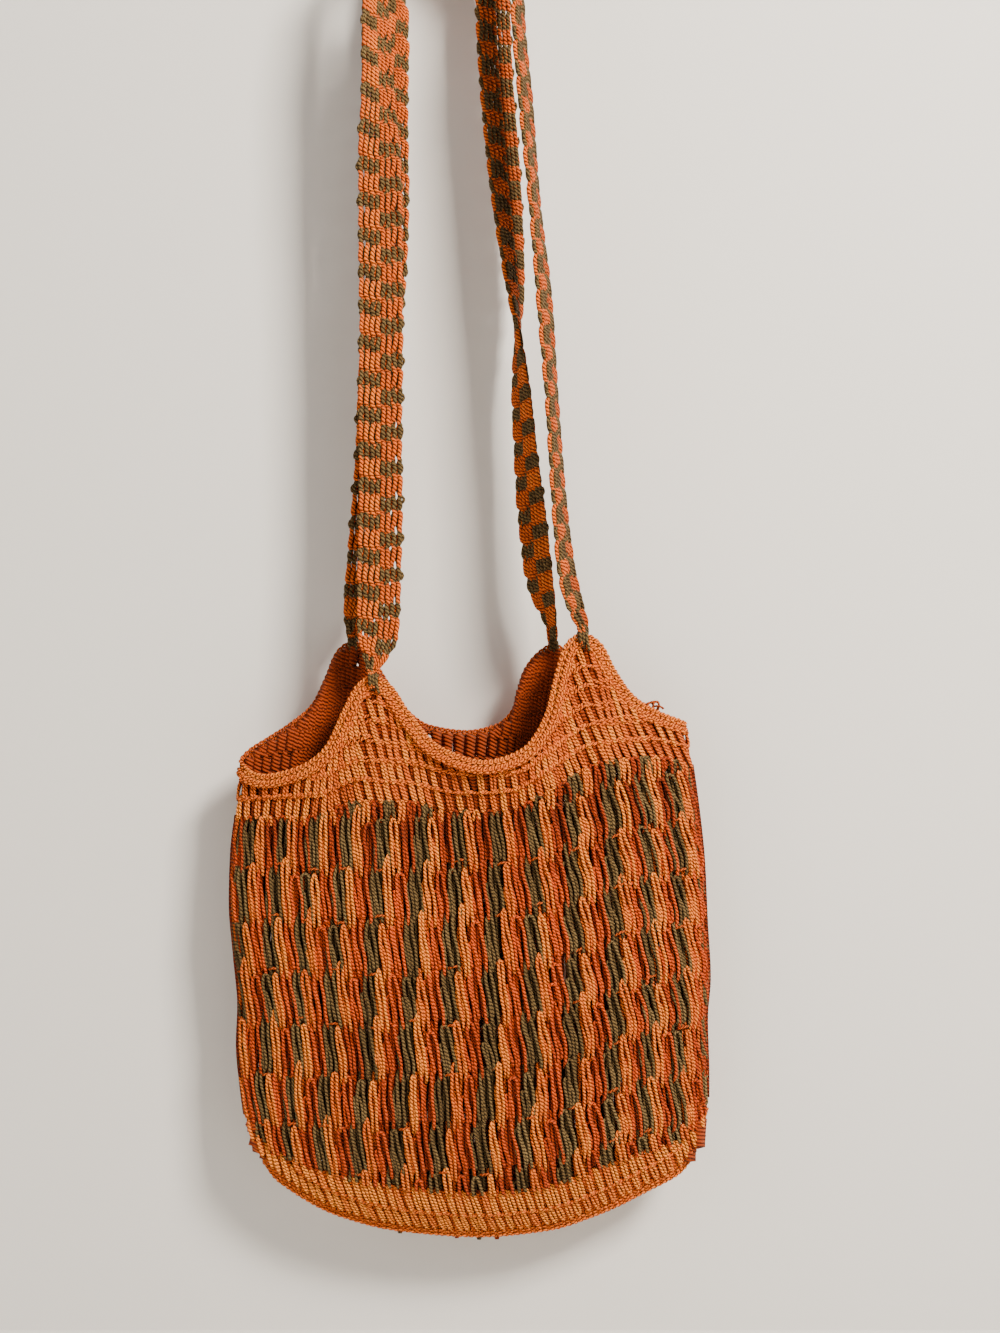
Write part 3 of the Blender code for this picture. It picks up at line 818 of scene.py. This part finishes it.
def looped_rows(frame_of, height_of, stitches, row, style, rng):
    """Rows of paired slanted stitches, and the chain lines between rows with what lies behind.

    style holds how far a stitch hooks under the row below, the gap between its legs, how far out
    it stands, the dye of the strands behind, set low as painted shade, and of the stitches, and the
    slant at a place.
    """
    pitch = 2.0 / stitches
    places = (np.arange(stitches) + 0.5) * pitch
    height = height_of(places)
    count = rows_of(height, row)
    cells = [(p, h, n, k) for p, h, n in zip(places, height, count) for k in range(n)]
    peaks = [(p + pitch / 2, h, n, k) for p, h, n, k in cells
             if h > TALL_SHARE * np.max(height)]
    chains = [strands_behind(frame_of, height_of, part, row, pitch, style, rng)
              for part in (cells, peaks)]
    cells = [(p, h, n, k) for i, (p, h, n) in enumerate(zip(places, height, count))
             for k in range(n)
             if i % 2 == 0 or spacing(frame_of, p, (k + 0.5) / n, pitch) > CLOSEST_STITCH]
    place, tall, rows, k = [np.array(column, float)[:, None] for column in zip(*cells)]
    low = k * row
    high = np.where(k == rows - 1, tall, (k + 1) * row)
    total = len(cells)
    place = place + np.where(k % 2 == 1, pitch / 2, 0) + spread(rng, 0.12 * pitch, total)

    leg = np.linspace(-1, 1, STITCH_POINTS)
    rise = 1 - np.abs(leg) ** 1.3                      # 0 at both tops, 1 at the hooked foot
    level = high + 0.5 - (high + 0.5 - low + style["hook"]) * rise + spread(rng, 0.5, total)
    slant = style["slant"](place) + spread(rng, 0.7, total)
    open_gap = style["gap"] + spread(rng, 0.3, total)
    open_gap = open_gap * np.sin(math.pi * np.clip(rise, 0, 1)) ** 0.7
    above_foot = np.clip((1 - rise) * (high - low) / FOOT_BEND, 0, 1)
    foot = np.sqrt(np.clip(1 - (1 - above_foot) ** 2, 0, 1))
    sideways = slant * (rise - 0.5) + np.sign(leg) * (0.5 + 0.5 * open_gap) * foot
    out = style["out"] + 1.1 * np.sin(math.pi * rise) - 0.7 * (1 - rise) + 0.5 * rise
    out = out + 0.5 * np.sign(leg) * np.cos(math.pi * rise) + spread(rng, 0.25, total)
    here, outward, round_bag = frame_of(place + 0 * level, level / tall)
    points = here + outward * out[..., None] + round_bag * sideways[..., None]
    # Painted shade: each stitch is darker towards its tops, where they pass under the row above.
    dye = style["dye"] + spread(rng, 0.35, total) - 0.2 * (1 - rise)
    loops = [strands(points, outward, YOKE_YARN, TAN, dye)]

    chained = k[:, 0] > 0
    place, tall, low = place[chained], tall[chained], low[chained]
    total = len(place)
    step = np.linspace(-1, 1, 9)
    for phase in (0.0, 0.5):
        reach = 0.75 * pitch * (step + phase)
        level = low + 0.8 * np.sin(math.pi * step) * (1 - 2 * phase) + spread(rng, 0.4, total)
        out = style["out"] - 0.4 + 1.5 * np.cos(math.pi / 2 * step) + spread(rng, 0.2, total)
        here, outward, _ = frame_of(place + reach, np.clip(level / tall, 0, 1))
        points = here + outward * out[..., None]
        chains.append(strands(points, outward, YOKE_YARN * 0.92, TAN, 0.42))
    return loops, chains


def plain_cloth(name, node, loops, chains, finishes):
    """The loops of a plain cloth, and the chain lines that join its rows."""
    pieces = []
    for kind, batches in (("_loops", loops), ("_chains", chains)):
        piece = yarn_piece(name + kind, batches, finishes)
        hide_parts(node)
        pieces.append(piece)
    return pieces


# How far a stitch of the yoke slants to the right, across the front and then back behind.
YOKE_SLANT = table("place slant", [
    (0.00, 1.0), (0.17, 2.0), (0.24, 6.0), (0.45, 4.6),
    (0.60, 6.2), (1.00, 5.4), (1.30, 3.5), (2.00, 1.0),
])


def make_yoke(finishes, rng):
    """The plain looped yoke that rises from the stripes to the rim."""
    def height(place):
        rise = yoke_ring(place, 1 + 0 * place) - yoke_ring(place, 0 * place)
        return np.linalg.norm(rise, axis=-1)

    style = {"hook": 2.2, "gap": 1.2, "out": 0.2, "behind": -0.55, "dye": 0.62,
             "slant": lambda place: smooth(YOKE_SLANT["place"], YOKE_SLANT["slant"], place % 2)}
    loops, chains = looped_rows(yoke_frame, height, 2 * YOKE_STITCHES, YOKE_ROW, style, rng)
    return plain_cloth("yoke", "yoke", loops, chains, finishes)


def make_band(finishes, rng):
    """The plain looped band that closes the pouch along its seam."""
    def height(place):
        top, seam, across = pouch_height(place)
        return (1 - band_line(across)) * (top - seam)

    style = {"hook": 1.6, "gap": 1.5, "out": 0.2, "behind": 0.15, "dye": 1.0,
             "slant": lambda place: 5.0}
    loops, chains = looped_rows(band_frame, height, 2 * BAND_STITCHES, BAND_ROW, style, rng)
    return plain_cloth("band", "bottom_band", loops, chains, finishes)


# ---------------------------------------------------------------- chain-stitched edgings
RIM_POINTS = 560
RIM_SLIMS_OVER = 0.06      # share of a panel over which the rim slims towards the back
SEAM_POINTS = 250
SEAM_END_REACH = 0.08      # share of the seam over which its chains draw in


def chains_along(line, up, out, lifts, full, radius):
    """Chains of three strands side by side along a line.

    lifts gives each chain's height and distance out in mm and its dye, and full is how much of its
    whole size a chain has at each point of the line.
    """
    run = np.concatenate([[0.0], np.cumsum(np.linalg.norm(np.diff(line, axis=0), axis=1))])
    repeats = max(1, round(run[-1] / CHAIN_REPEAT))
    phase = run / run[-1] * repeats * 2 * math.pi + 2 * math.pi / 3 * np.arange(3)[:, None]
    batches = []
    for high, proud, dye in lifts:
        points = (line + up * (full * (high + CHAIN_WIDTH * np.sin(phase)))[..., None]
                  + out * (full * (proud + np.sin(2 * phase)))[..., None])
        batches.append(strands(points, unit(out + 0.001 * up), radius, TAN, dye))
    return batches


def make_rim_chain(finishes):
    """Three chains side by side round the mouth: outside, along the top, and inside."""
    place = np.linspace(0, 2, RIM_POINTS)
    line, up, out = rim_frame(place)
    behind = np.where(place < 1, 0.0, np.clip(np.minimum(place - 1, 2 - place) / RIM_SLIMS_OVER, 0, 1))
    full = 1 - (1 - BACK_RIM) * behind
    lifts = ((-2.6, 2.2, 0.5), (2.0, 0.6, 0.6), (-2.2, -2.4, 0.4))
    batches = chains_along(line, up, out, lifts, full, CHAIN_YARN * full)
    chain = yarn_piece("rim_chain", batches, finishes)
    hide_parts("rim_edging")
    return chain


def make_seam_chain(finishes):
    """Three chains under the bottom seam, drawn in towards its two ends."""
    across = np.linspace(0, 1, SEAM_POINTS)
    seam = smooth_line(SEAM["across"], points_of(SEAM, "x", "z"), across)
    run = unit(np.gradient(seam, axis=0))
    below = np.stack([run[:, 1], 0 * across, -run[:, 0]], axis=-1)
    line = np.stack([seam[:, 0], 0 * across, seam[:, 1]], axis=-1)
    to_end = np.clip(np.minimum(across, 1 - across) / SEAM_END_REACH, 0, 1)[:, None]
    settle = to_end ** 2 * (3 - 2 * to_end)
    line = line + below * (CLOTH_THICK / 2 + CORD_RADIUS + SEAM_GAP) * settle
    front = np.broadcast_to(FORWARD, line.shape)
    full = 0.25 + 0.75 * settle[:, 0]
    lifts = ((1.6, 2.0, 0.5), (-1.4, 0.6, 0.5), (1.6, -2.0, 0.5))
    batches = chains_along(line, -below, front, lifts, full, CHAIN_YARN)
    chain = yarn_piece("seam_chain", batches, finishes)
    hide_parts("seam_edging")
    return chain


# Loose ends that curl up at the right of the rim: place round it, height and bend in mm.
TUFT = ((0.940, 9.0, 4.5), (0.950, 8.0, -4.0), (0.934, 7.0, 3.0), (0.945, 10.0, 2.5))
SEAM_LOOPS = (0.27, 0.56, 0.029)           # first, last and step along the seam


def make_loose_ends(finishes, rng):
    """Ends of yarn never woven in, at the rim, and loops from behind that hang below the seam."""
    curl = np.linspace(0, 1, 12)
    batches = []
    for place, reach, bend in TUFT:
        foot = rim(np.array([place]))[0]
        points = foot + np.stack([bend * np.sin(4.2 * curl), 2 * np.sin(5 * curl),
                                  reach * np.sin(2.3 * curl)], axis=-1)
        batches.append(strands(points[None], FORWARD, CHAIN_YARN * 0.7, TAN, 0.0))
    for number, across in enumerate(np.arange(*SEAM_LOOPS)):
        x, z = smooth_line(SEAM["across"], points_of(SEAM, "x", "z"), np.array([across]))[0]
        turn = math.pi * curl
        wide, deep = rng.uniform(1.4, 2.4), rng.uniform(8.5, 12.0)
        points = np.stack([x - wide * np.cos(turn) + rng.uniform(-3, 3),
                           3.0 + 3.2 * np.sin(turn) ** 0.5,
                           z + 16 - (deep + 16) * np.sin(turn) ** 0.7], axis=-1)
        finish = OLIVE if number % 3 else RUST
        batches.append(strands(points[None], FORWARD, POUCH_YARN, finish, 0.2))
    return yarn_piece("loose_ends", batches, finishes)


# ---------------------------------------------------------------- straps
STRAP_STEP = 2.4           # mm between the points of its strands
PICOT_STEP = 0.5
TUCK_DROP = 13.0           # mm that a strap's strands run on past the tip, over the rim
TUCK_OUT = 3.0
TUCK_WIDTH = 0.7           # against the tip's


def over_peg(left_leg, right_leg, depth):
    """A strap's whole route: up its left leg, over the peg in an arch, down its right leg."""
    names = ("x", "y", "z", "width", "turn")
    up, down = points_of(left_leg, *names), points_of(right_leg, *names)
    middle = (up[-1, 0] + down[0, 0]) / 2
    reach = (down[0, 0] - up[-1, 0]) / 2
    arch = []
    for angle in np.radians(np.arange(180, -1, -ARCH_STEP_ANGLE)):
        arch.append((middle + reach * math.cos(angle), depth,
                     STRAP_THICK / 2 - PEG_LEG_HEIGHT * (1 - math.sin(angle)), STRAP_WIDTH, 90))
    return np.concatenate([up, arch, down])


def strap_frame(route, step):
    """Points along a strap a step apart in mm, with its flat and its outward direction."""
    places = along(route[:, :3])
    length = np.linalg.norm(np.diff(route[:, :3], axis=0), axis=1).sum()
    samples = np.linspace(0, 1, int(length / step))
    line = smooth_line(places, route, samples)
    centre, width, turn = line[:, :3], line[:, 3], np.radians(line[:, 4])
    run = unit(np.gradient(centre, axis=0))
    flat = np.stack([np.cos(turn), np.sin(turn), 0 * turn], axis=-1)
    flat = unit(flat - run * np.sum(flat * run, axis=1, keepdims=True))
    out = np.cross(flat, run)
    return centre, flat, out * np.sign(-out[len(out) // 8, 1]), width, samples * length


def strap_yarns(route, colour, rng):
    """The eight strands of one colour, which show in turn with those of the other colour."""
    centre, flat, out, width, length = strap_frame(route, STRAP_STEP)
    full = width / STRAP_WIDTH
    batches = []
    for strand in range(STRAP_STRANDS):
        group = 1 if strand < STRAP_STRANDS / 2 else -1
        phase = 2 * math.pi * length / CHECK_REPEAT + 0.55 * rng.uniform(-1, 1)
        shows = np.tanh(2.0 * (np.sin(phase) * group + 0.22)) * (1 if colour == TAN else -1)
        saw = (length / CHECK_REPEAT * 2) % 1 - 0.5
        share = (strand + 0.5) / STRAP_STRANDS - 0.5
        behind = -math.copysign(0.25, share) * width / STRAP_STRANDS * (1 - shows)
        if colour == TAN:
            sway = 1.2 * saw + 0.35 * np.sin(length / 17 + strand)
            thick, lift = STRAP_YARN, 1.15
        else:
            sway = 0.5 * np.sin(length / 1.25 + 2 * strand)
            thick, lift = OLIVE_STRAP_YARN, 0.95
        sideways = share * width + behind + sway
        thick = thick * (0.55 + 0.45 * full)
        bundle = 1.6 * (1 - full) * math.sin(strand * 2.4)
        points = (centre + flat * sideways[:, None]
                  + out * (lift * shows + bundle)[:, None])
        # Painted shade: each strand is darker where it lies behind the other colour and paler where it
        # shows.
        dye = 0.36 + 0.16 * rng.uniform(-1, 1) + 0.16 * shows
        batches.append(strands(points[None], out[None], thick[None], colour, dye[None]))
    return batches


def strap_picots(route, rng):
    """Small olive loops that stand out at the strap's edges, one to a block."""
    centre, flat, out, width, length = strap_frame(route, PICOT_STEP)
    points, hints = [], []
    total = int(length[-1] / CHECK_REPEAT)
    reach = np.linspace(-1, 1, 9)
    for block in range(3, total - 2):
        for edge, shift in ((-0.5, 0.75), (0.5, 0.25)):
            middle = (block + shift) * CHECK_REPEAT + rng.uniform(-2, 2)
            proud = rng.uniform(0.6, 1.9)
            i = np.clip(np.searchsorted(length, middle + reach * 2.6), 0, len(length) - 1)
            side = math.copysign(1, edge)
            sideways = edge * width[i] + side * (-1.4 + proud * np.cos(reach * math.pi / 2))
            points.append(centre[i] + flat[i] * sideways[:, None] + out[i] * (0.5 * reach)[:, None])
            hints.append(out[i])
    return [strands(np.array(points), np.array(hints), TIE_YARN * 0.85, OLIVE, 0.5)]


def tucked_end(tip):
    """Where a strap's last strands bend over the rim, just past the tip of its band."""
    end = tip.copy()
    end[1] += math.copysign(TUCK_OUT, tip[1])
    end[2] -= TUCK_DROP
    end[3] = STRAP_TIP_WIDTH * TUCK_WIDTH
    return end[None]


def make_strap(name, left_leg, right_leg, depth, node, finishes, rng):
    """A knitted strap: tan strands, and olive strands that change places with them."""
    route = over_peg(left_leg, right_leg, depth)
    route = np.concatenate([tucked_end(route[0]), route, tucked_end(route[-1])])
    tan = yarn_piece(name, strap_yarns(route, TAN, rng), finishes, painted_shade_under=0.0)
    olive = yarn_piece(name + "_olive", strap_yarns(route, OLIVE, rng) + strap_picots(route, rng),
                       finishes, painted_shade_under=0.0)
    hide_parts(node)
    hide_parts(node)
    return tan, olive


def make_tie(peak, finishes):
    """Olive yarn wound round the rim at a peak, with its loose end."""
    centre = rim(np.array([place_of_peak(peak)]))[0]
    side = FRONT if peak.startswith("front") else BACK
    turns = np.linspace(0, 2.6 * 2 * math.pi, 48)
    wide = 5.2 + 0.3 * np.sin(turns * 3)
    coil = np.stack([(turns / turns[-1] - 0.5) * 5.5, wide * np.cos(turns), wide * np.sin(turns)],
                    axis=-1)
    loop = np.linspace(0, 1, 14)
    end = np.stack([2.5 + 2.0 * loop, side * (4.6 + 1.6 * np.sin(math.pi * loop)),
                    1.0 - 9.0 * loop], axis=-1)
    batches = [strands((centre + coil)[None], np.array([1.0, 0.0, 0.0]), TIE_YARN, OLIVE, 0.45),
               strands((centre + end)[None], np.array([0.0, side, 0.3]), TIE_YARN * 0.8, OLIVE, 0.5)]
    tie = yarn_piece("tie_" + peak, batches, finishes)
    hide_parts("strap_knot_" + peak)
    return tie


# ---------------------------------------------------------------- finishes
class Nodes:
    """Short calls for placing and joining shader nodes in one tree."""

    def __init__(self, tree):
        self.tree = tree

    def add(self, kind, **settings):
        """A new node with its settings; inputs holds values or other nodes' sockets."""
        node = self.tree.nodes.new(kind)
        inputs = settings.pop("inputs", {})
        for name, value in settings.items():
            setattr(node, name, value)
        for name, value in inputs.items():
            if isinstance(value, bpy.types.NodeSocket):
                self.join(value, node.inputs[name])
            else:
                node.inputs[name].default_value = value
        return node

    def join(self, start, end):
        """A link from one socket to another."""
        self.tree.links.new(start, end)

    def math(self, operation, first, second=0.0):
        """The result of one sum."""
        node = self.add("ShaderNodeMath", operation=operation, inputs={0: first, 1: second})
        return node.outputs[0]

    def noise(self, scale, detail=2.0, roughness=0.5):
        """Soft noise fixed to the object."""
        where = self.add("ShaderNodeTexCoord")
        made = self.add("ShaderNodeTexNoise", inputs={
            "Vector": where.outputs["Object"], "Scale": scale, "Detail": detail,
            "Roughness": roughness})
        return made.outputs["Fac"]

    def ramp(self, factor, *colours):
        """Colours spread evenly over a factor from 0 to 1."""
        made = self.add("ShaderNodeValToRGB", inputs={"Fac": factor})
        stops = made.color_ramp.elements
        for colour, stop in zip((colours[0], colours[-1]), stops):
            stop.color = (*colour, 1)
        for number, colour in enumerate(colours[1:-1], 1):
            stops.new(number / (len(colours) - 1)).color = (*colour, 1)
        return made.outputs["Color"]


def group(name, inputs, outputs):
    """A new shader node group with named sockets."""
    tree = bpy.data.node_groups.new(name, "ShaderNodeTree")
    for socket, kind, value in inputs:
        made = tree.interface.new_socket(socket, in_out="INPUT", socket_type="NodeSocket" + kind)
        made.default_value = value
    for socket, kind in outputs:
        tree.interface.new_socket(socket, in_out="OUTPUT", socket_type="NodeSocket" + kind)
    nodes = Nodes(tree)
    start = nodes.add("NodeGroupInput")
    end = nodes.add("NodeGroupOutput")
    return nodes, start.outputs, end.inputs


def twist_group():
    """Two plies wound round each other, with short fibres along them."""
    nodes, given, result = group(
        "two_ply_twist",
        [("Pitch", "Float", TWIST_PITCH * MM), ("Fibre Size", "Float", 2600.0),
         ("Fibre Depth", "Float", 0.35)],
        [("Height", "Float"), ("Groove", "Float")])
    place = nodes.add("ShaderNodeUVMap", uv_map="yarn")
    split = nodes.add("ShaderNodeSeparateXYZ", inputs={0: place.outputs["UV"]})
    turns = nodes.math("DIVIDE", split.outputs["Y"], given["Pitch"])
    phase = nodes.math("MULTIPLY", nodes.math("SUBTRACT", split.outputs["X"], turns), 2 * math.pi)
    ply = nodes.math("ABSOLUTE", nodes.math("SINE", phase))
    rounded = nodes.math("POWER", ply, 0.8)
    fibre = nodes.noise(given["Fibre Size"], detail=3.0, roughness=0.7)
    fine = nodes.math("MULTIPLY", fibre, given["Fibre Depth"])
    nodes.join(nodes.math("ADD", rounded, fine), result["Height"])
    # Groove mask: where the painted shade between the plies goes, and where the yarn is rougher.
    groove_shade = nodes.add("ShaderNodeMapRange", inputs={
        "Value": rounded, "From Min": 0.85, "From Max": 0.15, "To Min": 0.0, "To Max": 1.0})
    nodes.join(groove_shade.outputs["Result"], result["Groove"])
    return nodes.tree


SPECK_SIZE = 1500.0        # noise scale


def dye_and_shade_group():
    """How bright the yarn is painted from place to place: its uneven dye, together with the painted
    shade and painted light that the strands carry in their dye values.
    """
    nodes, given, result = group(
        "uneven_dye_and_painted_shade",
        [("Patch Size", "Float", 90.0), ("Patch Depth", "Float", 0.5), ("Speck Depth", "Float", 0.4)],
        [("Brightness", "Float")])
    dye = nodes.add("ShaderNodeAttribute", attribute_name="dye")
    patch, speck = nodes.noise(given["Patch Size"]), nodes.noise(SPECK_SIZE)
    broad = nodes.math("MULTIPLY", nodes.math("SUBTRACT", patch, 0.5), given["Patch Depth"])
    fine = nodes.math("MULTIPLY", nodes.math("SUBTRACT", speck, 0.5), given["Speck Depth"])
    total = nodes.math("ADD", dye.outputs["Fac"], nodes.math("ADD", broad, fine))
    nodes.join(total, result["Brightness"])
    return nodes.tree


# Each yarn's colour from its darkest to its brightest dye, and the painted shade in the groove between
# its plies.
YARN_COLOURS = {
    "tan_yarn": ((0.32, 0.040, 0.002), (0.78, 0.130, 0.007), (1.00, 0.29, 0.026),
                 (0.09, 0.006, 0.001)),
    "olive_yarn": ((0.078, 0.042, 0.012), (0.138, 0.083, 0.027), (0.230, 0.148, 0.055),
                   (0.020, 0.008, 0.002)),
    "rust_yarn": ((0.23, 0.023, 0.001), (0.46, 0.045, 0.001), (0.70, 0.080, 0.003),
                  (0.08, 0.005, 0.001)),
}


def new_finish(name):
    """A new material, its nodes and its main shader."""
    material = bpy.data.materials.new(name)
    material.use_nodes = True
    return material, Nodes(material.node_tree), material.node_tree.nodes["Principled BSDF"]


def yarn_finish(name, twist, dye):
    """Matte two-ply yarn, with its plies, fibres, uneven dye and the painted shade of the grooves
    between its plies.
    """
    *bands, groove_shade = YARN_COLOURS[name]
    material, nodes, shader = new_finish(name)
    plies = nodes.add("ShaderNodeGroup", node_tree=twist)
    taken = nodes.add("ShaderNodeGroup", node_tree=dye)
    # Painted shade: the groove between the plies is darkened towards the near-black last colour of each
    # yarn.
    shaded = nodes.add("ShaderNodeMix", data_type="RGBA", inputs={
        "Factor": nodes.math("MULTIPLY", plies.outputs["Groove"], 0.95),
        "A": nodes.ramp(taken.outputs["Brightness"], *bands), "B": (*groove_shade, 1)})
    nodes.join(shaded.outputs["Result"], shader.inputs["Base Color"])
    rough = nodes.add("ShaderNodeMapRange", inputs={
        "Value": plies.outputs["Groove"], "To Min": 0.72, "To Max": 0.95})
    nodes.join(rough.outputs["Result"], shader.inputs["Roughness"])
    bump = nodes.add("ShaderNodeBump", inputs={
        "Height": plies.outputs["Height"], "Strength": 1.0, "Distance": 0.0016})
    nodes.join(bump.outputs["Normal"], shader.inputs["Normal"])
    shader.inputs["Specular IOR Level"].default_value = 0.12
    shader.inputs["Sheen Weight"].default_value = 0.06
    shader.inputs["Sheen Roughness"].default_value = 0.5
    shader.inputs["Sheen Tint"].default_value = (1.0, 0.75, 0.5, 1.0)
    return material


def plain_finish(name, colour, see_through_behind=False):
    """Matte paint for the room, a little uneven, that may be clear from behind and to lamps."""
    material, nodes, shader = new_finish(name)
    shade = nodes.ramp(nodes.noise(3.0), [0.96 * c for c in colour], colour)
    nodes.join(shade, shader.inputs["Base Color"])
    shader.inputs["Roughness"].default_value = 0.9
    if see_through_behind:
        clear = nodes.add("ShaderNodeBsdfTransparent")
        facing = nodes.add("ShaderNodeNewGeometry")
        ray = nodes.add("ShaderNodeLightPath")
        clear_to = nodes.math("MAXIMUM", facing.outputs["Backfacing"], ray.outputs["Is Shadow Ray"])
        mixed = nodes.add("ShaderNodeMixShader", inputs={
            0: clear_to, 1: shader.outputs["BSDF"], 2: clear.outputs["BSDF"]})
        out = material.node_tree.nodes["Material Output"]
        nodes.join(mixed.outputs["Shader"], out.inputs["Surface"])
    return material


# ---------------------------------------------------------------- room, light and camera, metres
FLOOR_HEIGHT = -1.02
WALL_DEPTH = 0.046
ROOM_SIZE = 6.0
CAMERA_PLACE = (0.0375, -1.10, -0.5397)
VIEW_HEIGHT_AT_ORIGIN = 0.9264
SENSOR = 36.0
PALE = (0.66, 0.645, 0.62)
HANGING_BAG = (0.02, 0, -0.6)


def plane(name, corners, finish):
    """A flat face of the room."""
    mesh = bpy.data.meshes.new(name)
    mesh.from_pydata(corners, [], [(0, 1, 2, 3)])
    mesh.materials.append(finish)
    piece = bpy.data.objects.new(name, mesh)
    bpy.context.scene.collection.objects.link(piece)
    return piece


def make_room():
    """The wall behind the bag and the floor below it."""
    half = ROOM_SIZE / 2
    plane("floor", [(-half, -half, FLOOR_HEIGHT), (half, -half, FLOOR_HEIGHT),
                    (half, half, FLOOR_HEIGHT), (-half, half, FLOOR_HEIGHT)],
          plain_finish("pale_floor", PALE))
    plane("wall", [(-half, WALL_DEPTH, FLOOR_HEIGHT), (half, WALL_DEPTH, FLOOR_HEIGHT),
                   (half, WALL_DEPTH, half), (-half, WALL_DEPTH, half)],
          plain_finish("pale_wall", PALE, see_through_behind=True))


def soft_light(name, place, target, size, power, colour):
    """A square lamp that faces its target."""
    lamp = bpy.data.lights.new(name, "AREA")
    lamp.size = size
    lamp.energy = power
    lamp.color = colour
    holder = bpy.data.objects.new(name, lamp)
    bpy.context.scene.collection.objects.link(holder)
    holder.location = place
    aim = np.array(target) - np.array(place)
    holder.rotation_euler = (math.atan2(math.hypot(aim[0], aim[1]), -aim[2]), 0,
                             math.atan2(aim[0], -aim[1]) + math.pi)


def make_lights():
    """A warm key light from the upper right, a weak fill, a light behind, and the room's glow."""
    soft_light("key", (1.15, -1.4, 0.75), HANGING_BAG, 0.55, 136, (1.0, 0.92, 0.81))
    soft_light("fill", (-1.4, -1.6, -0.1), (0.02, 0, -0.7), 1.6, 14, (1.0, 0.93, 0.85))
    soft_light("behind", (0.6, 2.2, 0.3), HANGING_BAG, 1.6, 30, (1.0, 0.95, 0.90))
    world = bpy.data.worlds.new("studio")
    world.use_nodes = True
    bpy.context.scene.world = world
    background = world.node_tree.nodes["Background"]
    background.inputs["Color"].default_value = (1.0, 0.97, 0.94, 1)
    background.inputs["Strength"].default_value = 0.27


def make_camera():
    """The view straight on, with the whole bag and most of its straps in sight."""
    lens = bpy.data.cameras.new("camera")
    lens.sensor_fit = "AUTO"
    lens.sensor_width = SENSOR
    lens.lens = SENSOR * -CAMERA_PLACE[1] / VIEW_HEIGHT_AT_ORIGIN
    camera = bpy.data.objects.new("camera", lens)
    bpy.context.scene.collection.objects.link(camera)
    camera.location = CAMERA_PLACE
    camera.rotation_euler = (math.pi / 2, 0, 0)
    bpy.context.scene.camera = camera


# ---------------------------------------------------------------- everything together
bag = bpy.data.collections.new("bag_yarns")
bpy.context.scene.collection.children.link(bag)
make_camera()
make_lights()
make_room()

twist, dye = twist_group(), dye_and_shade_group()
yarns = [yarn_finish(name, twist, dye) for name in ("tan_yarn", "olive_yarn", "rust_yarn")]
rng = np.random.default_rng(7)

pouch_front, inside_front = make_pouch(FRONT, "pouch_front", yarns, rng)
pouch_back, inside_back = make_pouch(BACK, "pouch_back", yarns, rng)
yoke, yoke_chains = make_yoke(yarns, rng)
band, band_chains = make_band(yarns, rng)
rim_chain = make_rim_chain(yarns)
seam_chain = make_seam_chain(yarns)
loose_ends = make_loose_ends(yarns, rng)
strap_front, strap_front_olive = make_strap(
    "strap_front_tan", FRONT_LEFT_LEG, FRONT_RIGHT_LEG, PEG_DEPTH["front"], "strap_front", yarns, rng)
strap_back, strap_back_olive = make_strap(
    "strap_back_tan", BACK_LEFT_LEG, BACK_RIGHT_LEG, PEG_DEPTH["back"], "strap_back", yarns, rng)
ties = {peak: make_tie(peak, yarns) for peak in PEAKS}
